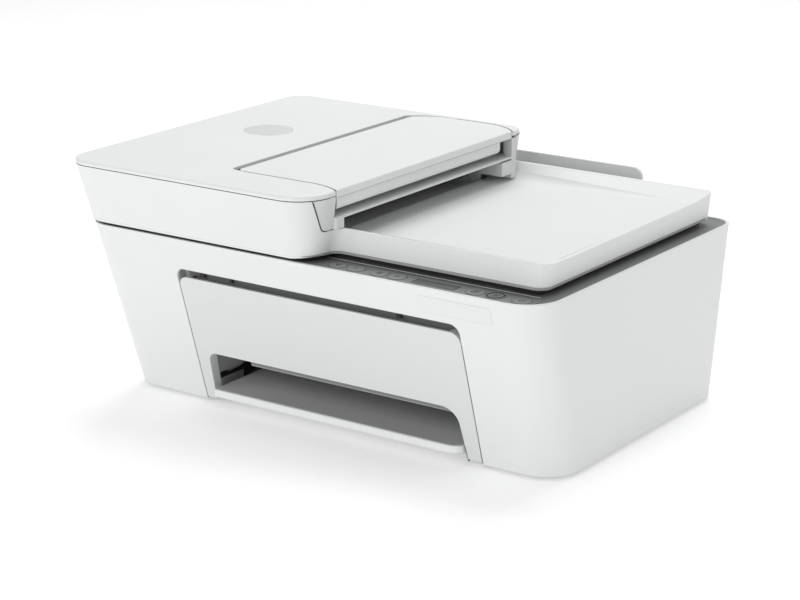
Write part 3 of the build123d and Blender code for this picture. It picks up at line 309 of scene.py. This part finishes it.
floor_mesh = bpy.data.meshes.new("floor")
floor_corners = [(x * floor_half, y * floor_half, 0) for x, y in ((-1, -1), (1, -1), (1, 1), (-1, 1))]
floor_mesh.from_pydata(floor_corners, [], [(0, 1, 2, 3)])
floor = bpy.data.objects.new("floor", floor_mesh)
scene.collection.objects.link(floor)
floor_paint, floor_shader, floor_tone = new_finish("floor_paint")
floor_shader.inputs["Base Color"].default_value = (0.9, 0.9, 0.9, 1.0)
floor_shader.inputs["Roughness"].default_value = 0.9
floor_shader.inputs["Emission Color"].default_value = white
floor_shader.inputs["Emission Strength"].default_value = floor_glow
floor_mesh.materials.append(floor_paint)


def soft_light(name, place, target, size, power):
    """A large square lamp that looks at a point."""
    lamp = bpy.data.lights.new(name, "AREA")
    lamp.shape = "SQUARE"
    lamp.size = size
    lamp.energy = power
    holder = bpy.data.objects.new(name, lamp)
    holder.location = place
    holder.rotation_euler = (Vector(target) - Vector(place)).to_track_quat("-Z", "Y").to_euler()
    scene.collection.objects.link(holder)


soft_light("top_light", (-0.2, 0.9, 2.2), (0, 0, 0.1), 1.8, 32.0)
soft_light("key_light", (-1.5, -1.9, 1.2), (0, 0, 0.1), 1.4, 5.0)
soft_light("front_light", (0.1, -2.1, 0.85), (0, -0.1, 0.05), 1.0, 9.0)
soft_light("side_light", (2.2, 0.9, 0.9), (0.1, 0.1, 0.1), 1.4, 3.0)

# %% [markdown]
# ## Lines and outlines
# Seams, marks and liners are thin, and each follows a line that the solids already have. Reading those lines
# from the solids' meshes would give many short and uneven pieces, so a few helpers draw them anew: arcs for
# corners, rectangles with round corners, strips beside a line, and the leaning front and left side of the
# base. Sizes are in millimetres, as on the drawing.

# %% Lines and outlines
front_foot_y, front_lean = 105.4, 0.303
left_foot_x, left_lean = 202.45, 0.0555


def front_y(z):
    """Where the leaning front of the base is at a height."""
    return -(front_foot_y + front_lean * z)


def left_x(z):
    """Where the leaning left side is at a height."""
    return -(left_foot_x + left_lean * z)


def arc(centre, radius, start, end, steps=10):
    """Points along an arc, with angles in degrees."""
    angles = [math.radians(start + (end - start) * i / steps) for i in range(steps + 1)]
    return [(centre[0] + radius * math.cos(a), centre[1] + radius * math.sin(a)) for a in angles]


def three_point_arc(start, middle, end, steps=12):
    """Points of the circle through three points, from the first to the last."""
    (ax, ay), (bx, by), (cx, cy) = start, middle, end
    d = 2 * (ax * (by - cy) + bx * (cy - ay) + cx * (ay - by))
    a2, b2, c2 = ax * ax + ay * ay, bx * bx + by * by, cx * cx + cy * cy
    ux = (a2 * (by - cy) + b2 * (cy - ay) + c2 * (ay - by)) / d
    uy = (a2 * (cx - bx) + b2 * (ax - cx) + c2 * (bx - ax)) / d
    radius = math.hypot(ax - ux, ay - uy)
    a0 = math.degrees(math.atan2(ay - uy, ax - ux))
    a1 = math.degrees(math.atan2(cy - uy, cx - ux))
    if a1 - a0 > 180:
        a1 -= 360
    if a0 - a1 > 180:
        a1 += 360
    return arc((ux, uy), radius, a0, a1, steps)


def rounded(span, radii):
    """A rectangle with rounded corners, front left first, then on round to the right."""
    x0, x1, y0, y1 = span
    fl, fr, br, bl = radii
    outline = arc((x0 + fl, y0 + fl), fl, 180, 270)
    outline += arc((x1 - fr, y0 + fr), fr, 270, 360)
    outline += arc((x1 - br, y1 - br), br, 0, 90)
    return outline + arc((x0 + bl, y1 - bl), bl, 90, 180)


def beside(line, near, far):
    """The outline of a strip beside a line, from one distance to another on its right hand."""
    sides = ([], [])
    for i, (x, y) in enumerate(line):
        before, after = line[max(i - 1, 0)], line[min(i + 1, len(line) - 1)]
        run = Vector((after[0] - before[0], after[1] - before[1])).normalized()
        for side, away in zip(sides, (near, far)):
            side.append((x + run.y * away, y - run.x * away))
    return sides[0] + sides[1][::-1]


print("front at the foot and the rim:", front_y(0), front_y(146))

# %% [markdown]
# ## Slabs, bands and wires
# Three makers turn those lines into pieces: a slab with any outline and softened edges, a thin band between
# two lines, and a round wire. Each piece is tied to the body that carries it, so that it moves with it.


def dress(name, data, finish, body):
    """Makes a piece of a mesh or curve, with its finish and its body."""
    piece = bpy.data.objects.new(name, data)
    scene.collection.objects.link(piece)
    data.materials.append(finish)
    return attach(piece, body)


def closed_mesh(name, points, faces):
    """A mesh from points in millimetres, with all its faces turned outwards."""
    mesh = bpy.data.meshes.new(name)
    mesh.from_pydata([Vector(p) * MM for p in points], [], faces)
    shape = bmesh.new()
    shape.from_mesh(mesh)
    bmesh.ops.recalc_face_normals(shape, faces=shape.faces)
    shape.to_mesh(mesh)
    shape.free()
    return mesh


def flat(u, v, w):
    """A point of an outline that lies level: w is its height."""
    return u, v, w


def on_front(u, v, w):
    """A point of an outline that lies on the base's front: w is how far it stands out."""
    return u, front_y(v) - w, v


def prism(name, outline, low, high, finish, body, place=flat, soft=0.1):
    """A closed slab with any outline and softened edges."""
    count = len(outline)
    points = [place(u, v, low) for u, v in outline] + [place(u, v, high) for u, v in outline]
    faces = [tuple(range(count)), tuple(range(count, 2 * count))]
    faces += [(i, (i + 1) % count, count + (i + 1) % count, count + i) for i in range(count)]
    piece = dress(name, closed_mesh(name, points, faces), finish, body)
    bevel = piece.modifiers.new("soft_edges", "BEVEL")
    bevel.width = soft * MM
    bevel.segments = 2
    return piece


def band(name, one_edge, other_edge, inner_side, finish, body, ring=False):
    """A thin band between two lines: inner_side gives the point behind a point of its outer face."""
    rows = [one_edge, other_edge]
    rows += [[inner_side(p) for p in row] for row in (other_edge, one_edge)]
    count = len(one_edge)
    faces = []
    for row in range(4):
        a, b = row * count, (row + 1) % 4 * count
        for i in range(count if ring else count - 1):
            j = (i + 1) % count
            faces.append((a + i, a + j, b + j, b + i))
    if not ring:
        faces += [tuple(row * count + end for row in range(4)) for end in (0, count - 1)]
    return dress(name, closed_mesh(name, [p for row in rows for p in row], faces), finish, body)


def wire(name, lines, diameter, finish, body, closed=False):
    """Round wires along lines of points."""
    curve = bpy.data.curves.new(name, "CURVE")
    curve.dimensions = "3D"
    curve.bevel_depth = diameter / 2 * MM
    curve.bevel_resolution = 2
    for line in lines:
        spline = curve.splines.new("POLY")
        spline.points.add(len(line) - 1)
        for point, (x, y, z) in zip(spline.points, line):
            point.co = (x * MM, y * MM, z * MM, 1.0)
        spline.use_cyclic_u = closed
    return dress(name, curve, finish, body)


seam_black = moulded_plastic("seam_black", (0.02, 0.02, 0.021), 0.8)

# %% [markdown]
# ## Shadow lines
# Where two mouldings meet, a real case has a joint half a millimetre wide and several deep, and it shows as a
# thin black line. In a render, light leaks about in such a narrow gap and the line turns grey. A dark wire
# laid in each joint gives the line its true weight from every side. The cover's joint lies level and is seen
# at a low angle, so it gets a narrow dark strip of painted shadow beside it as well. The line round the
# document tray is no joint. It is painted shade where the dish falls away from its rim, so its wire is thin
# and grey.

# %% Joints of the lid
lid_left, lid_right, lid_front, lid_back = -213.3, 24.0, -164.64, 134.5
plate_radii = (21.25, 27.25, 13.25, 17.25)
seam_height = 195.8
sunk = 0.33
tip_front, tip_back = -129.2, 112.7
tip_x = 12.0
plate_span = (lid_left + sunk, lid_right - sunk, lid_front + sunk, lid_back - sunk)
plate_line = []
for x, y in rounded(plate_span, plate_radii):
    at_cover = x > tip_x and tip_front - 1 < y < tip_back + 1
    if not at_cover:
        plate_line.append((x, y, seam_height))
first = next(i for i, p in enumerate(plate_line) if p[0] > tip_x and p[1] > 0)
plate_line = plate_line[first:] + plate_line[:first]
wire("lid_joint", [plate_line], 0.9, seam_black, "lid")
print("lid joint points:", len(plate_line))

# %% Joints of the feeder cover
cover_front, cover_back, cover_right = -120.7, 126.8, 23.8
cover_joint_z, lid_top_z = 199.55, 200.0
front_bend = three_point_arc((-2.0, cover_front), (12.0, -123.5), (cover_right, tip_front))
back_bend = three_point_arc((-8.0, cover_back), (11.0, 122.2), (cover_right, tip_back))
front_joint = [(-70.0, cover_front)] + front_bend
back_joint = [(-40.0, cover_back)] + back_bend
cover_lines = [[(x, y, cover_joint_z) for x, y in line] for line in (front_joint, back_joint)]
wire("cover_joints", cover_lines, 0.75, seam_black, "lid")

# a narrow dark strip beside the cover's joint: painted shadow
cover_joint_shadow = moulded_plastic("cover_joint_shadow", (0.12, 0.122, 0.122), 0.6)
edge_near, edge_far = -0.25, 1.1
for name, line in (("cover_edge_front", front_joint), ("cover_edge_back", back_joint[::-1])):
    strip = beside(line, edge_near, edge_far)
    prism(name, strip, lid_top_z - 0.15, lid_top_z + 0.01, cover_joint_shadow, "lid", soft=0.02)
print("cover joint points:", len(front_joint), len(back_joint))

# %% Joint of the feeder's front leg
rim_low_z, rim_high_z = 150.5, 195.5
corner_low_x, corner_low_r = 17.5, 24.0
corner_out, corner_growth = 6.5, 4.0


def leg_joint_point(y, z):
    """A point on the rounded front corner of the feeder, for a depth and a height."""
    up = (z - rim_low_z) / (rim_high_z - rim_low_z)
    right = corner_low_x + corner_out * up
    radius = corner_low_r + corner_growth * up
    centre_x, centre_y = right - radius, front_y(z) + radius
    return centre_x + math.sqrt(max(radius**2 - (y - centre_y) ** 2, 0.0)) - 0.12, y, z


leg_top = (-151.9, 195.3)
leg_turn = (-140.3, 169.85)
leg_end = (-129.2, 169.85)
leg_seam_top_z = 197.5
turn_r = 5.0
straight_steps = 6
lean = math.atan2(leg_seam_top_z - leg_turn[1], leg_turn[0] - leg_top[0])
turn_middle = (leg_turn[0] + turn_r * math.tan(lean / 2), leg_turn[1] + turn_r)
leg_bend = arc(turn_middle, turn_r, 270 - math.degrees(lean), 270, 12)
leg_line = []
for i in range(straight_steps):
    share = i / straight_steps
    leg_line.append([a + (b - a) * share for a, b in zip(leg_top, leg_bend[0])])
leg_line += leg_bend + [leg_end]
wire("leg_joint", [[leg_joint_point(y, z) for y, z in leg_line]], 0.95, seam_black, "lid")
print("leg joint points:", len(leg_line))

# %% Lines on the cover's guide and round the document tray
guide_x, guide_z = 23.15, 194.15
guide_line = [(guide_x, y, guide_z) for y in (-126.0, -60.0, 20.0, 95.5)]
wire("guide_joint", [guide_line], 0.7, seam_black, "cover")

# a grey line of painted shade where the dish falls away from its rim
dish_painted_shade = moulded_plastic("dish_painted_shade", (0.5, 0.508, 0.506), 0.5)
dish_front, dish_right, dish_r = -118.5, 198.0, 8.0
dish_front_z, dish_fall, dish_right_z = 169.42, 0.5, 168.85
dish_line = [(x, dish_front, dish_front_z) for x in (40.0, 120.0)]
dish_turn = arc((dish_right - dish_r, dish_front + dish_r), dish_r, 270, 360)
turn_steps = len(dish_turn) - 1
dish_line += [(x, y, dish_front_z - dish_fall * i / turn_steps) for i, (x, y) in enumerate(dish_turn)]
dish_line += [(dish_right, y, dish_right_z) for y in (0.0, 92.0)]
wire("dish_line", [dish_line], 0.35, dish_painted_shade, "lid")
print("line points:", len(guide_line), len(dish_line))

# %% Joints of the door
door_joint_x = (-122.1, 140.1)
door_joint_in = 0.55
side_joints = []
for x in door_joint_x:
    side_joints.append([(x, front_y(z) + door_joint_in, z) for z in (4.0, 40.0, 80.0, 104.0)])
wire("door_joints", side_joints, 0.7, seam_black, "base")
print("door joints:", len(side_joints))

# %% [markdown]
# ## The shadow under the lid
# The black line all round between the lid and the base is the shadow in the gap under the lid, and a dark band
# paints it. It is a thin upright strip that follows the lid's outline a few millimetres in. A solid ring would
# do as well, but while the lid is shut only the outer face shows, so a band between two closed lines is
# enough.

# %% Painted shadow under the lid
shadow_band_low_z, shadow_band_high_z = 146.5, 150.45
shadow_band_shrink = 0.985
shadow_band_line = arc((-187.8, -123.0), 23.0, 180, 270) + arc((-8.0, -126.5), 19.5, 270, 340) + [(12.5, -118.4)]
shadow_band_line += arc((187.4, -110.4), 8.0, 270, 360) + arc((187.4, 116.2), 8.0, 0, 90)
shadow_band_line += arc((-192.8, 111.5), 13.0, 90, 180)
shadow_band_low = [(x, y, shadow_band_low_z) for x, y in shadow_band_line]
shadow_band_high = [(x, y, shadow_band_high_z) for x, y in shadow_band_line]


def shadow_band_inner(point):
    """The point of the shadow band's inner face behind a point of its outer face."""
    return point[0] * shadow_band_shrink, point[1] * shadow_band_shrink, point[2]


# a dark band that paints the shadow in the gap between the lid and the base
band("lid_gap_shadow", shadow_band_low, shadow_band_high, shadow_band_inner, seam_black, "lid", ring=True)
print("seal corners:", len(shadow_band_line))

# %% [markdown]
# ## The lid's lower edge
# The lid's rim turns under in a narrow bevel, which catches no light and shows as a grey line between the
# white rim and the black shadow under the lid. A thin grey band that hugs the rim paints that shade, and
# leaves the solid's face alone. It grows from nothing at the feeder's corner.

# %% Grey band under the rim
inside_r, tray_corner_r = 9.0, 10.0


def rim_outline(front, right, corner, corner_r, grow):
    """The lid's rim at one height, from the feeder's rounded corner along the tray's front and right."""
    hollow_y = front - inside_r
    away = math.sqrt((corner_r + inside_r) ** 2 - (corner[1] - hollow_y) ** 2)
    hollow = (corner[0] + away, hollow_y)
    meet = math.degrees(math.atan2(hollow_y - corner[1], away))
    turn = (right - tray_corner_r, front + tray_corner_r)
    line = arc(corner, corner_r + grow, 300, 360 + meet, 14)
    line += arc(hollow, inside_r - grow, 180 + meet, 90, 10)[1:]
    line += [(turn[0], front - grow)] + arc(turn, tray_corner_r + grow, 270, 360)[1:]
    return line + [(right + grow, y) for y in (60.0, 118.0)]


band_grow, band_depth, band_height = 0.2, 0.6, 2.2
band_start, band_steps = 0.12, 14
# grey band: painted shade of the bevel under the rim
rim_painted_shade = moulded_plastic("rim_painted_shade", (0.36, 0.366, 0.364), 0.55)
low_rim = rim_outline(-123.4, 200.4, (-6.5, -127.0), 24.0, band_grow)
high_rim = rim_outline(-123.18, 200.67, (-6.38, -127.47), 24.2, band_grow)
rises = [band_height * min(1.0, band_start + i / band_steps) for i in range(len(low_rim))]
band_low = [(x, y, rim_low_z) for x, y in low_rim]
band_high = [(x, y, rim_low_z + rise) for (x, y), rise in zip(high_rim, rises)]


def rim_inner(point):
    """The point of the band's inner face behind a point of its outer face."""
    return point[0] - band_depth, point[1] + band_depth, point[2]


band("rim_band", band_low, band_high, rim_inner, rim_painted_shade, "lid")
print("band points:", len(low_rim))

# %% [markdown]
# ## The skirt under the feeder
# The feeder half of the lid reaches lower than the tray half, so the black line under it is thin at the front
# left and opens to a wedge towards the keys. The skirt is a thin band that carries the feeder's leaning front
# and left side on downwards. A straight box would stand off those slopes and their round corners, so the band
# takes the feeder's own outline at each height. It fades out at both ends, and stops short of the hinges so
# that the lid can swing.

# %% Skirt
skirt_top_z, skirt_drop, skirt_depth = 150.52, 2.0, 1.2
skirt_least = 0.08
fade_in, fade_out = 12, 2
left_corner_r = 22.0
feeder_middle = Vector((-90.0, 0.0))


def feeder_edge(z):
    """The feeder's outline at a height: its right corner, the front, and the left side to near the back."""
    left, front = left_x(z), front_y(z)
    line = arc((corner_low_x - corner_low_r, front + corner_low_r), corner_low_r, 325, 270, 14)
    line += [(x, front) for x in (-60.0, -120.0)]
    line += arc((left + left_corner_r, front + left_corner_r), left_corner_r, 270, 180, 12)
    return line + [(left, y) for y in (-60.0, 0.0, 60.0, 96.0, 108.0)]


def skirt_inner(point):
    """The point of the skirt's inner face behind a point of its outer face."""
    inward = (feeder_middle - Vector(point[:2])).normalized() * skirt_depth
    return point[0] + inward.x, point[1] + inward.y, point[2]


skirt_high = [(x, y, skirt_top_z) for x, y in feeder_edge(skirt_top_z)]
last = len(skirt_high) - 1
skirt_low = []
for i in range(last + 1):
    share = max(skirt_least, min(1.0, i / fade_in, (last - i) / fade_out))
    z = skirt_top_z - skirt_drop * share
    skirt_low.append((*feeder_edge(z)[i], z))
band("feeder_skirt", skirt_high, skirt_low, skirt_inner, finishes["white_shell"], "lid")
print("skirt points:", len(skirt_high))

# %% [markdown]
# ## The groove beside the feeder cover
# The cover swings up on a hinge that lies in a shallow groove, and what shows in the groove is the grey
# barrel of that hinge. The barrel is part of the swinging cover, so it turns with it. Blender's own cylinder
# would have sharp ends, so the slab maker takes a circle as its outline and softens them. The groove bends
# forward at its front end, where a low grey filler lies under the cover's sweep. The grey of barrel and
# filler is partly their own colour and partly painted shade of the groove.

# %% Hinge barrel and groove end
# grey: partly the hinge's own colour, partly painted shade of the groove
groove_grey_and_shade = moulded_plastic("groove_grey_and_shade", (0.30, 0.305, 0.305), 0.5)
hinge_x, hinge_z, barrel_r = -79.35, 196.0, 3.1
barrel_front, barrel_back = -113.0, 109.0


def along_groove(u, v, w):
    """A point of an outline that stands across the groove: w is its place along it."""
    return u, w, v


barrel = arc((hinge_x, hinge_z), barrel_r, 0, 360, 32)[:-1]
prism("hinge_barrel", barrel, barrel_front, barrel_back, groove_grey_and_shade, "cover", along_groove, 0.2)
groove_end = [(-76.25, -113.4)] + arc((-70.0, -114.4), 6.3, 180, 262)
groove_end += arc((-76.7, -115.0), 5.75, 268, 180) + [(-82.45, -113.4)]
prism("groove_end", groove_end, 196.0, 197.2, groove_grey_and_shade, "lid", soft=0.2)
print("barrel corners:", len(barrel))

# %% [markdown]
# ## Inside the outlet
# Printed sheets slide out over a grey floor that ends in a white lip. The floor is a thin liner that lies on
# the tray and moves with it. Its colour runs from grey at the front to nearly white at the back: painted light
# and shade for the way light falls into the outlet. Two liners of different greys would show an edge where
# they meet, so there is one, and its colour runs along its depth.

# %% Outlet floor


def painted_light_floor(name, front, back, y_front, y_back):
    """Plastic whose colour runs from the front to the back, between two depths in metres, as painted light and
    shade.
    """
    material, shader, tone = new_finish(name)
    place = object_place(tone)
    depth = tone.node("ShaderNodeSeparateXYZ", {}, {0: place}, out=1)
    share = tone.node("ShaderNodeMapRange", {}, {0: depth, 1: y_front, 2: y_back})
    tone.feed(shader.inputs["Base Color"], mix_colour(tone, share, front, back))
    grain = noise(tone, place, 1 / (skin_grain_mm * MM))
    tone.feed(shader.inputs["Roughness"], grain * 0.1 + 0.5)
    bump_inputs = {"Strength": 0.3, "Distance": skin_depth_mm * MM, "Height": grain}
    tone.feed(shader.inputs["Normal"], tone.node("ShaderNodeBump", {}, bump_inputs))
    return material


# grey at the front to nearly white at the back: painted light and shade inside the outlet
liner_painted_light = painted_light_floor("liner_painted_light", (0.56, 0.568, 0.566), (0.9, 0.905, 0.905), -0.112, -0.09)
liner = rounded((-109.7, 124.5, -112.4, 15.5), (2.0, 11.0, 2.0, 2.0))
tray_top_z, liner_t = 15.0, 0.2
prism("tray_liner", liner, tray_top_z, tray_top_z + liner_t, liner_painted_light, "tray", soft=0.05)
print("liner corners:", len(liner))

# %% [markdown]
# ## The outlet's sides
# Left of the floor stands the frame's grey cheek, with a dark patch of painted shade in the corner where the
# floor meets it. Under the outlet's upper edge lies the door's rail, grey, with a paler strip along its lower
# edge as a painted highlight, and at the right a dark line of painted shadow parts the lip from the door.
# Painting them would mean splitting the faces of the solids, so they are thin slabs and one wire, and each
# rides on the body that carries it.

# %% Cheek, rail and outlet joint
cheek_x = -122.4


def on_cheek(u, v, w):
    """A point of an outline that stands along the frame's left cheek."""
    return cheek_x + w, u, v


cheek_grey = moulded_plastic("cheek_grey", (0.72, 0.73, 0.73), 0.5)
cheek = [(-103.0, 21.0), (-62.0, 21.0), (-62.0, 70.0), (-103.0, 70.0)]
prism("cheek_plate", cheek, 0.0, 0.5, cheek_grey, "base", on_cheek, 0.1)
# dark patch: painted shade in the corner where the floor meets the cheek
corner_shade_outline = [(-104.0, 15.4), (-98.0, 16.0), (-92.0, 19.5), (-86.0, 20.3)]
corner_shade_outline += [(-78.0, 18.5), (-66.0, 19.0), (-52.0, 21.5), (-52.0, 15.4)]
prism("cheek_corner_shade", corner_shade_outline, 0.0, 0.6, seam_black, "base", on_cheek, 0.05)

rail_left, rail_right = -70.0, 119.0
rail_deep, rail_near = -4.6, -3.2
rail_grey = moulded_plastic("rail_grey", (0.2, 0.204, 0.204), 0.5)
# pale lower strip: a painted highlight along the rail's edge
rail_painted_highlight = moulded_plastic("rail_painted_highlight", (0.32, 0.326, 0.326), 0.5)
rails = (("door_rail", 43.65, 46.9, rail_grey), ("rail_edge", 42.6, 43.6, rail_painted_highlight))
for name, low, high, finish in rails:
    rail = [(rail_left, low), (rail_right, low), (rail_right, high), (rail_left, high)]
    prism(name, rail, rail_deep, rail_near, finish, "door", on_front, 0.1)

outlet_top_x, outlet_top_z, outlet_spread = 124.5, 47.5, 4.1
side_line = []
for z in (15.5, 9.0, 3.0):
    outlet_x = outlet_top_x + outlet_spread * (outlet_top_z - z) / outlet_top_z
    side_line.append((outlet_x - 1.5, front_y(z) + 1.6, z))
# dark wire: painted shadow at the outlet's right edge
wire("outlet_joint", [side_line], 1.5, seam_black, "door")
print("outlet pieces:", 3 + len(rails))

# %% [markdown]
# ## Door catches
# Two small catches hold the door shut at its upper left, and a third sits right of the middle. They are
# moulded on the beam behind the finger gap, which lies in the shade of that gap. A box would lose the slope of
# a catch's head, so each catch is a slab with four corners of its own. The beam is one piece with the frame's
# paler cheeks, so a thin dark facing on it paints the gap's shade.

# %% Catches
catch_grey = moulded_plastic("catch_grey", (0.08, 0.08, 0.082), 0.5)
catch_foot_z, catch_high_z, catch_tip_z = 113.4, 116.5, 117.2
catches = ((-105.9, 6.0), (-75.7, 3.0), (80.1, 5.0))
for number, (x, width) in enumerate(catches, 1):
    hook = [(x, catch_foot_z), (x + width, catch_foot_z)]
    hook += [(x + width * 0.8, catch_high_z), (x + width * 0.3, catch_tip_z)]
    prism(f"door_catch_{number}", hook, -9.4, -6.6, catch_grey, "base", on_front, 0.2)
# dark facing: painted shade of the finger gap on the beam
beam_painted_shade = moulded_plastic("beam_painted_shade", (0.26, 0.265, 0.265), 0.5)
beam_face = [(-118.0, 106.0), (136.0, 106.0), (136.0, 121.5), (-118.0, 121.5)]
prism("beam_face", beam_face, -9.58, -9.42, beam_painted_shade, "base", on_front, 0.03)
print("catches:", len(catches))

# %% [markdown]
# ## A bare label
# A pale label lies on the front, right of the door. A painted patch would be simpler, but a real label is a
# film with an edge, so it is a thin slab of its own with a fine line round it, smoother than the case.

# %% Label
label_film = moulded_plastic("label_film", (0.785, 0.80, 0.795), 0.34, depth_mm=0.002, edge_mm=0.1)
label_r = 2.0
label = rounded((108.6, 171.0, 126.0, 139.0), (label_r, label_r, label_r, label_r))
prism("front_label", label, 0.0, 0.15, label_film, "base", on_front, 0.05)
label_line = moulded_plastic("label_line", (0.62, 0.63, 0.63), 0.5)
label_edge = [on_front(u, v, 0.02) for u, v in label]
wire("label_edge", [label_edge], 0.22, label_line, "base", closed=True)
print("label:", len(label), "points")

# %% [markdown]
# ## Keys and display
# The panel's round keys carry plain line signs that any office machine has: waves, a letter i, a sheet, a
# cross, sheets to copy and the power sign. They could be painted in the shader, but thin wires set in the key
# tops stay sharp at any distance and move with their keys. The display is a thin dark slab in its window, and
# a pale line runs along the deck behind the panel.

# %% Key signs
key_row_y = -136.0
key_top, panel_top = 145.8, 145.3
ring_r, bold_r, ring_steps = 7.35, 6.2, 40
sign_dark = moulded_plastic("sign_dark", (0.02, 0.02, 0.02), 0.5, depth_mm=0.001)
keys = {"wireless": 30.3, "information": 46.7, "resume": 67.9, "cancel": 83.5}
keys.update({"copy_mono": 151.4, "copy_colour": 168.1, "power": 190.1})
sheet = [(-1.6, -2.1), (1.6, -2.1), (1.6, 2.1), (-1.6, 2.1), (-1.6, -2.1)]
sheets = [[(x + dx, y + dy) for x, y in sheet] for dx, dy in ((-0.9, -0.7), (0.9, 0.7))]
signs = {
    "wireless": [arc((0, -2), r, 50, 130, 8) for r in (1.6, 3.0, 4.4)] + [arc((0, -2), 0.3, 0, 360, 8)],
    "information": [[(0, -2.2), (0, 0.8)], arc((0, 2.2), 0.3, 0, 360, 8)],
    "resume": [sheet, [(-0.8, 0.1), (0, 1.1), (0.8, 0.1)], [(0, 1.1), (0, -1.2)]],
    "cancel": [[(-1.9, -1.9), (1.9, 1.9)], [(-1.9, 1.9), (1.9, -1.9)]],
    "copy_mono": sheets,
    "copy_colour": sheets,
    "power": [arc((0, 0), 2.3, 125, 415, 14), [(0, 0.6), (0, 2.9)]],
}
for key, key_x in keys.items():
    lines = [[(key_x + x, key_row_y + y, key_top) for x, y in line] for line in signs[key]]
    wire(f"{key}_sign", lines, 0.4, sign_dark, key)


def key_circle(key_x, radius, z):
    """A circle round the middle of a key."""
    return [(x, y, z) for x, y in arc((key_x, key_row_y), radius, 0, 360, ring_steps)]


rings = [key_circle(key_x, ring_r, panel_top - 0.05) for key_x in keys.values()]
wire("key_rings", rings, 0.42, sign_dark, "base")
wire("colour_ring", [key_circle(keys["copy_colour"], bold_r, key_top)], 1.0, sign_dark, "copy_colour")
print("signs:", len(signs))

# %% Display
screen_grey = clear_glass("screen_grey", (0.13, 0.136, 0.134), 0.3, 0.0)
screen_r, screen_t = 0.6, 0.12
screen = rounded((99.6, 135.0, -140.7, -132.0), (screen_r, screen_r, screen_r, screen_r))
prism("display_screen", screen, panel_top, panel_top + screen_t, screen_grey, "base", soft=0.05)
panel_line = moulded_plastic("panel_line", (0.75, 0.76, 0.76), 0.4)
panel_edge = [(x, -121.0, 145.05) for x in (-20.0, 196.0)]
wire("panel_joint", [panel_edge], 0.5, panel_line, "base")
print("display corners:", len(screen))
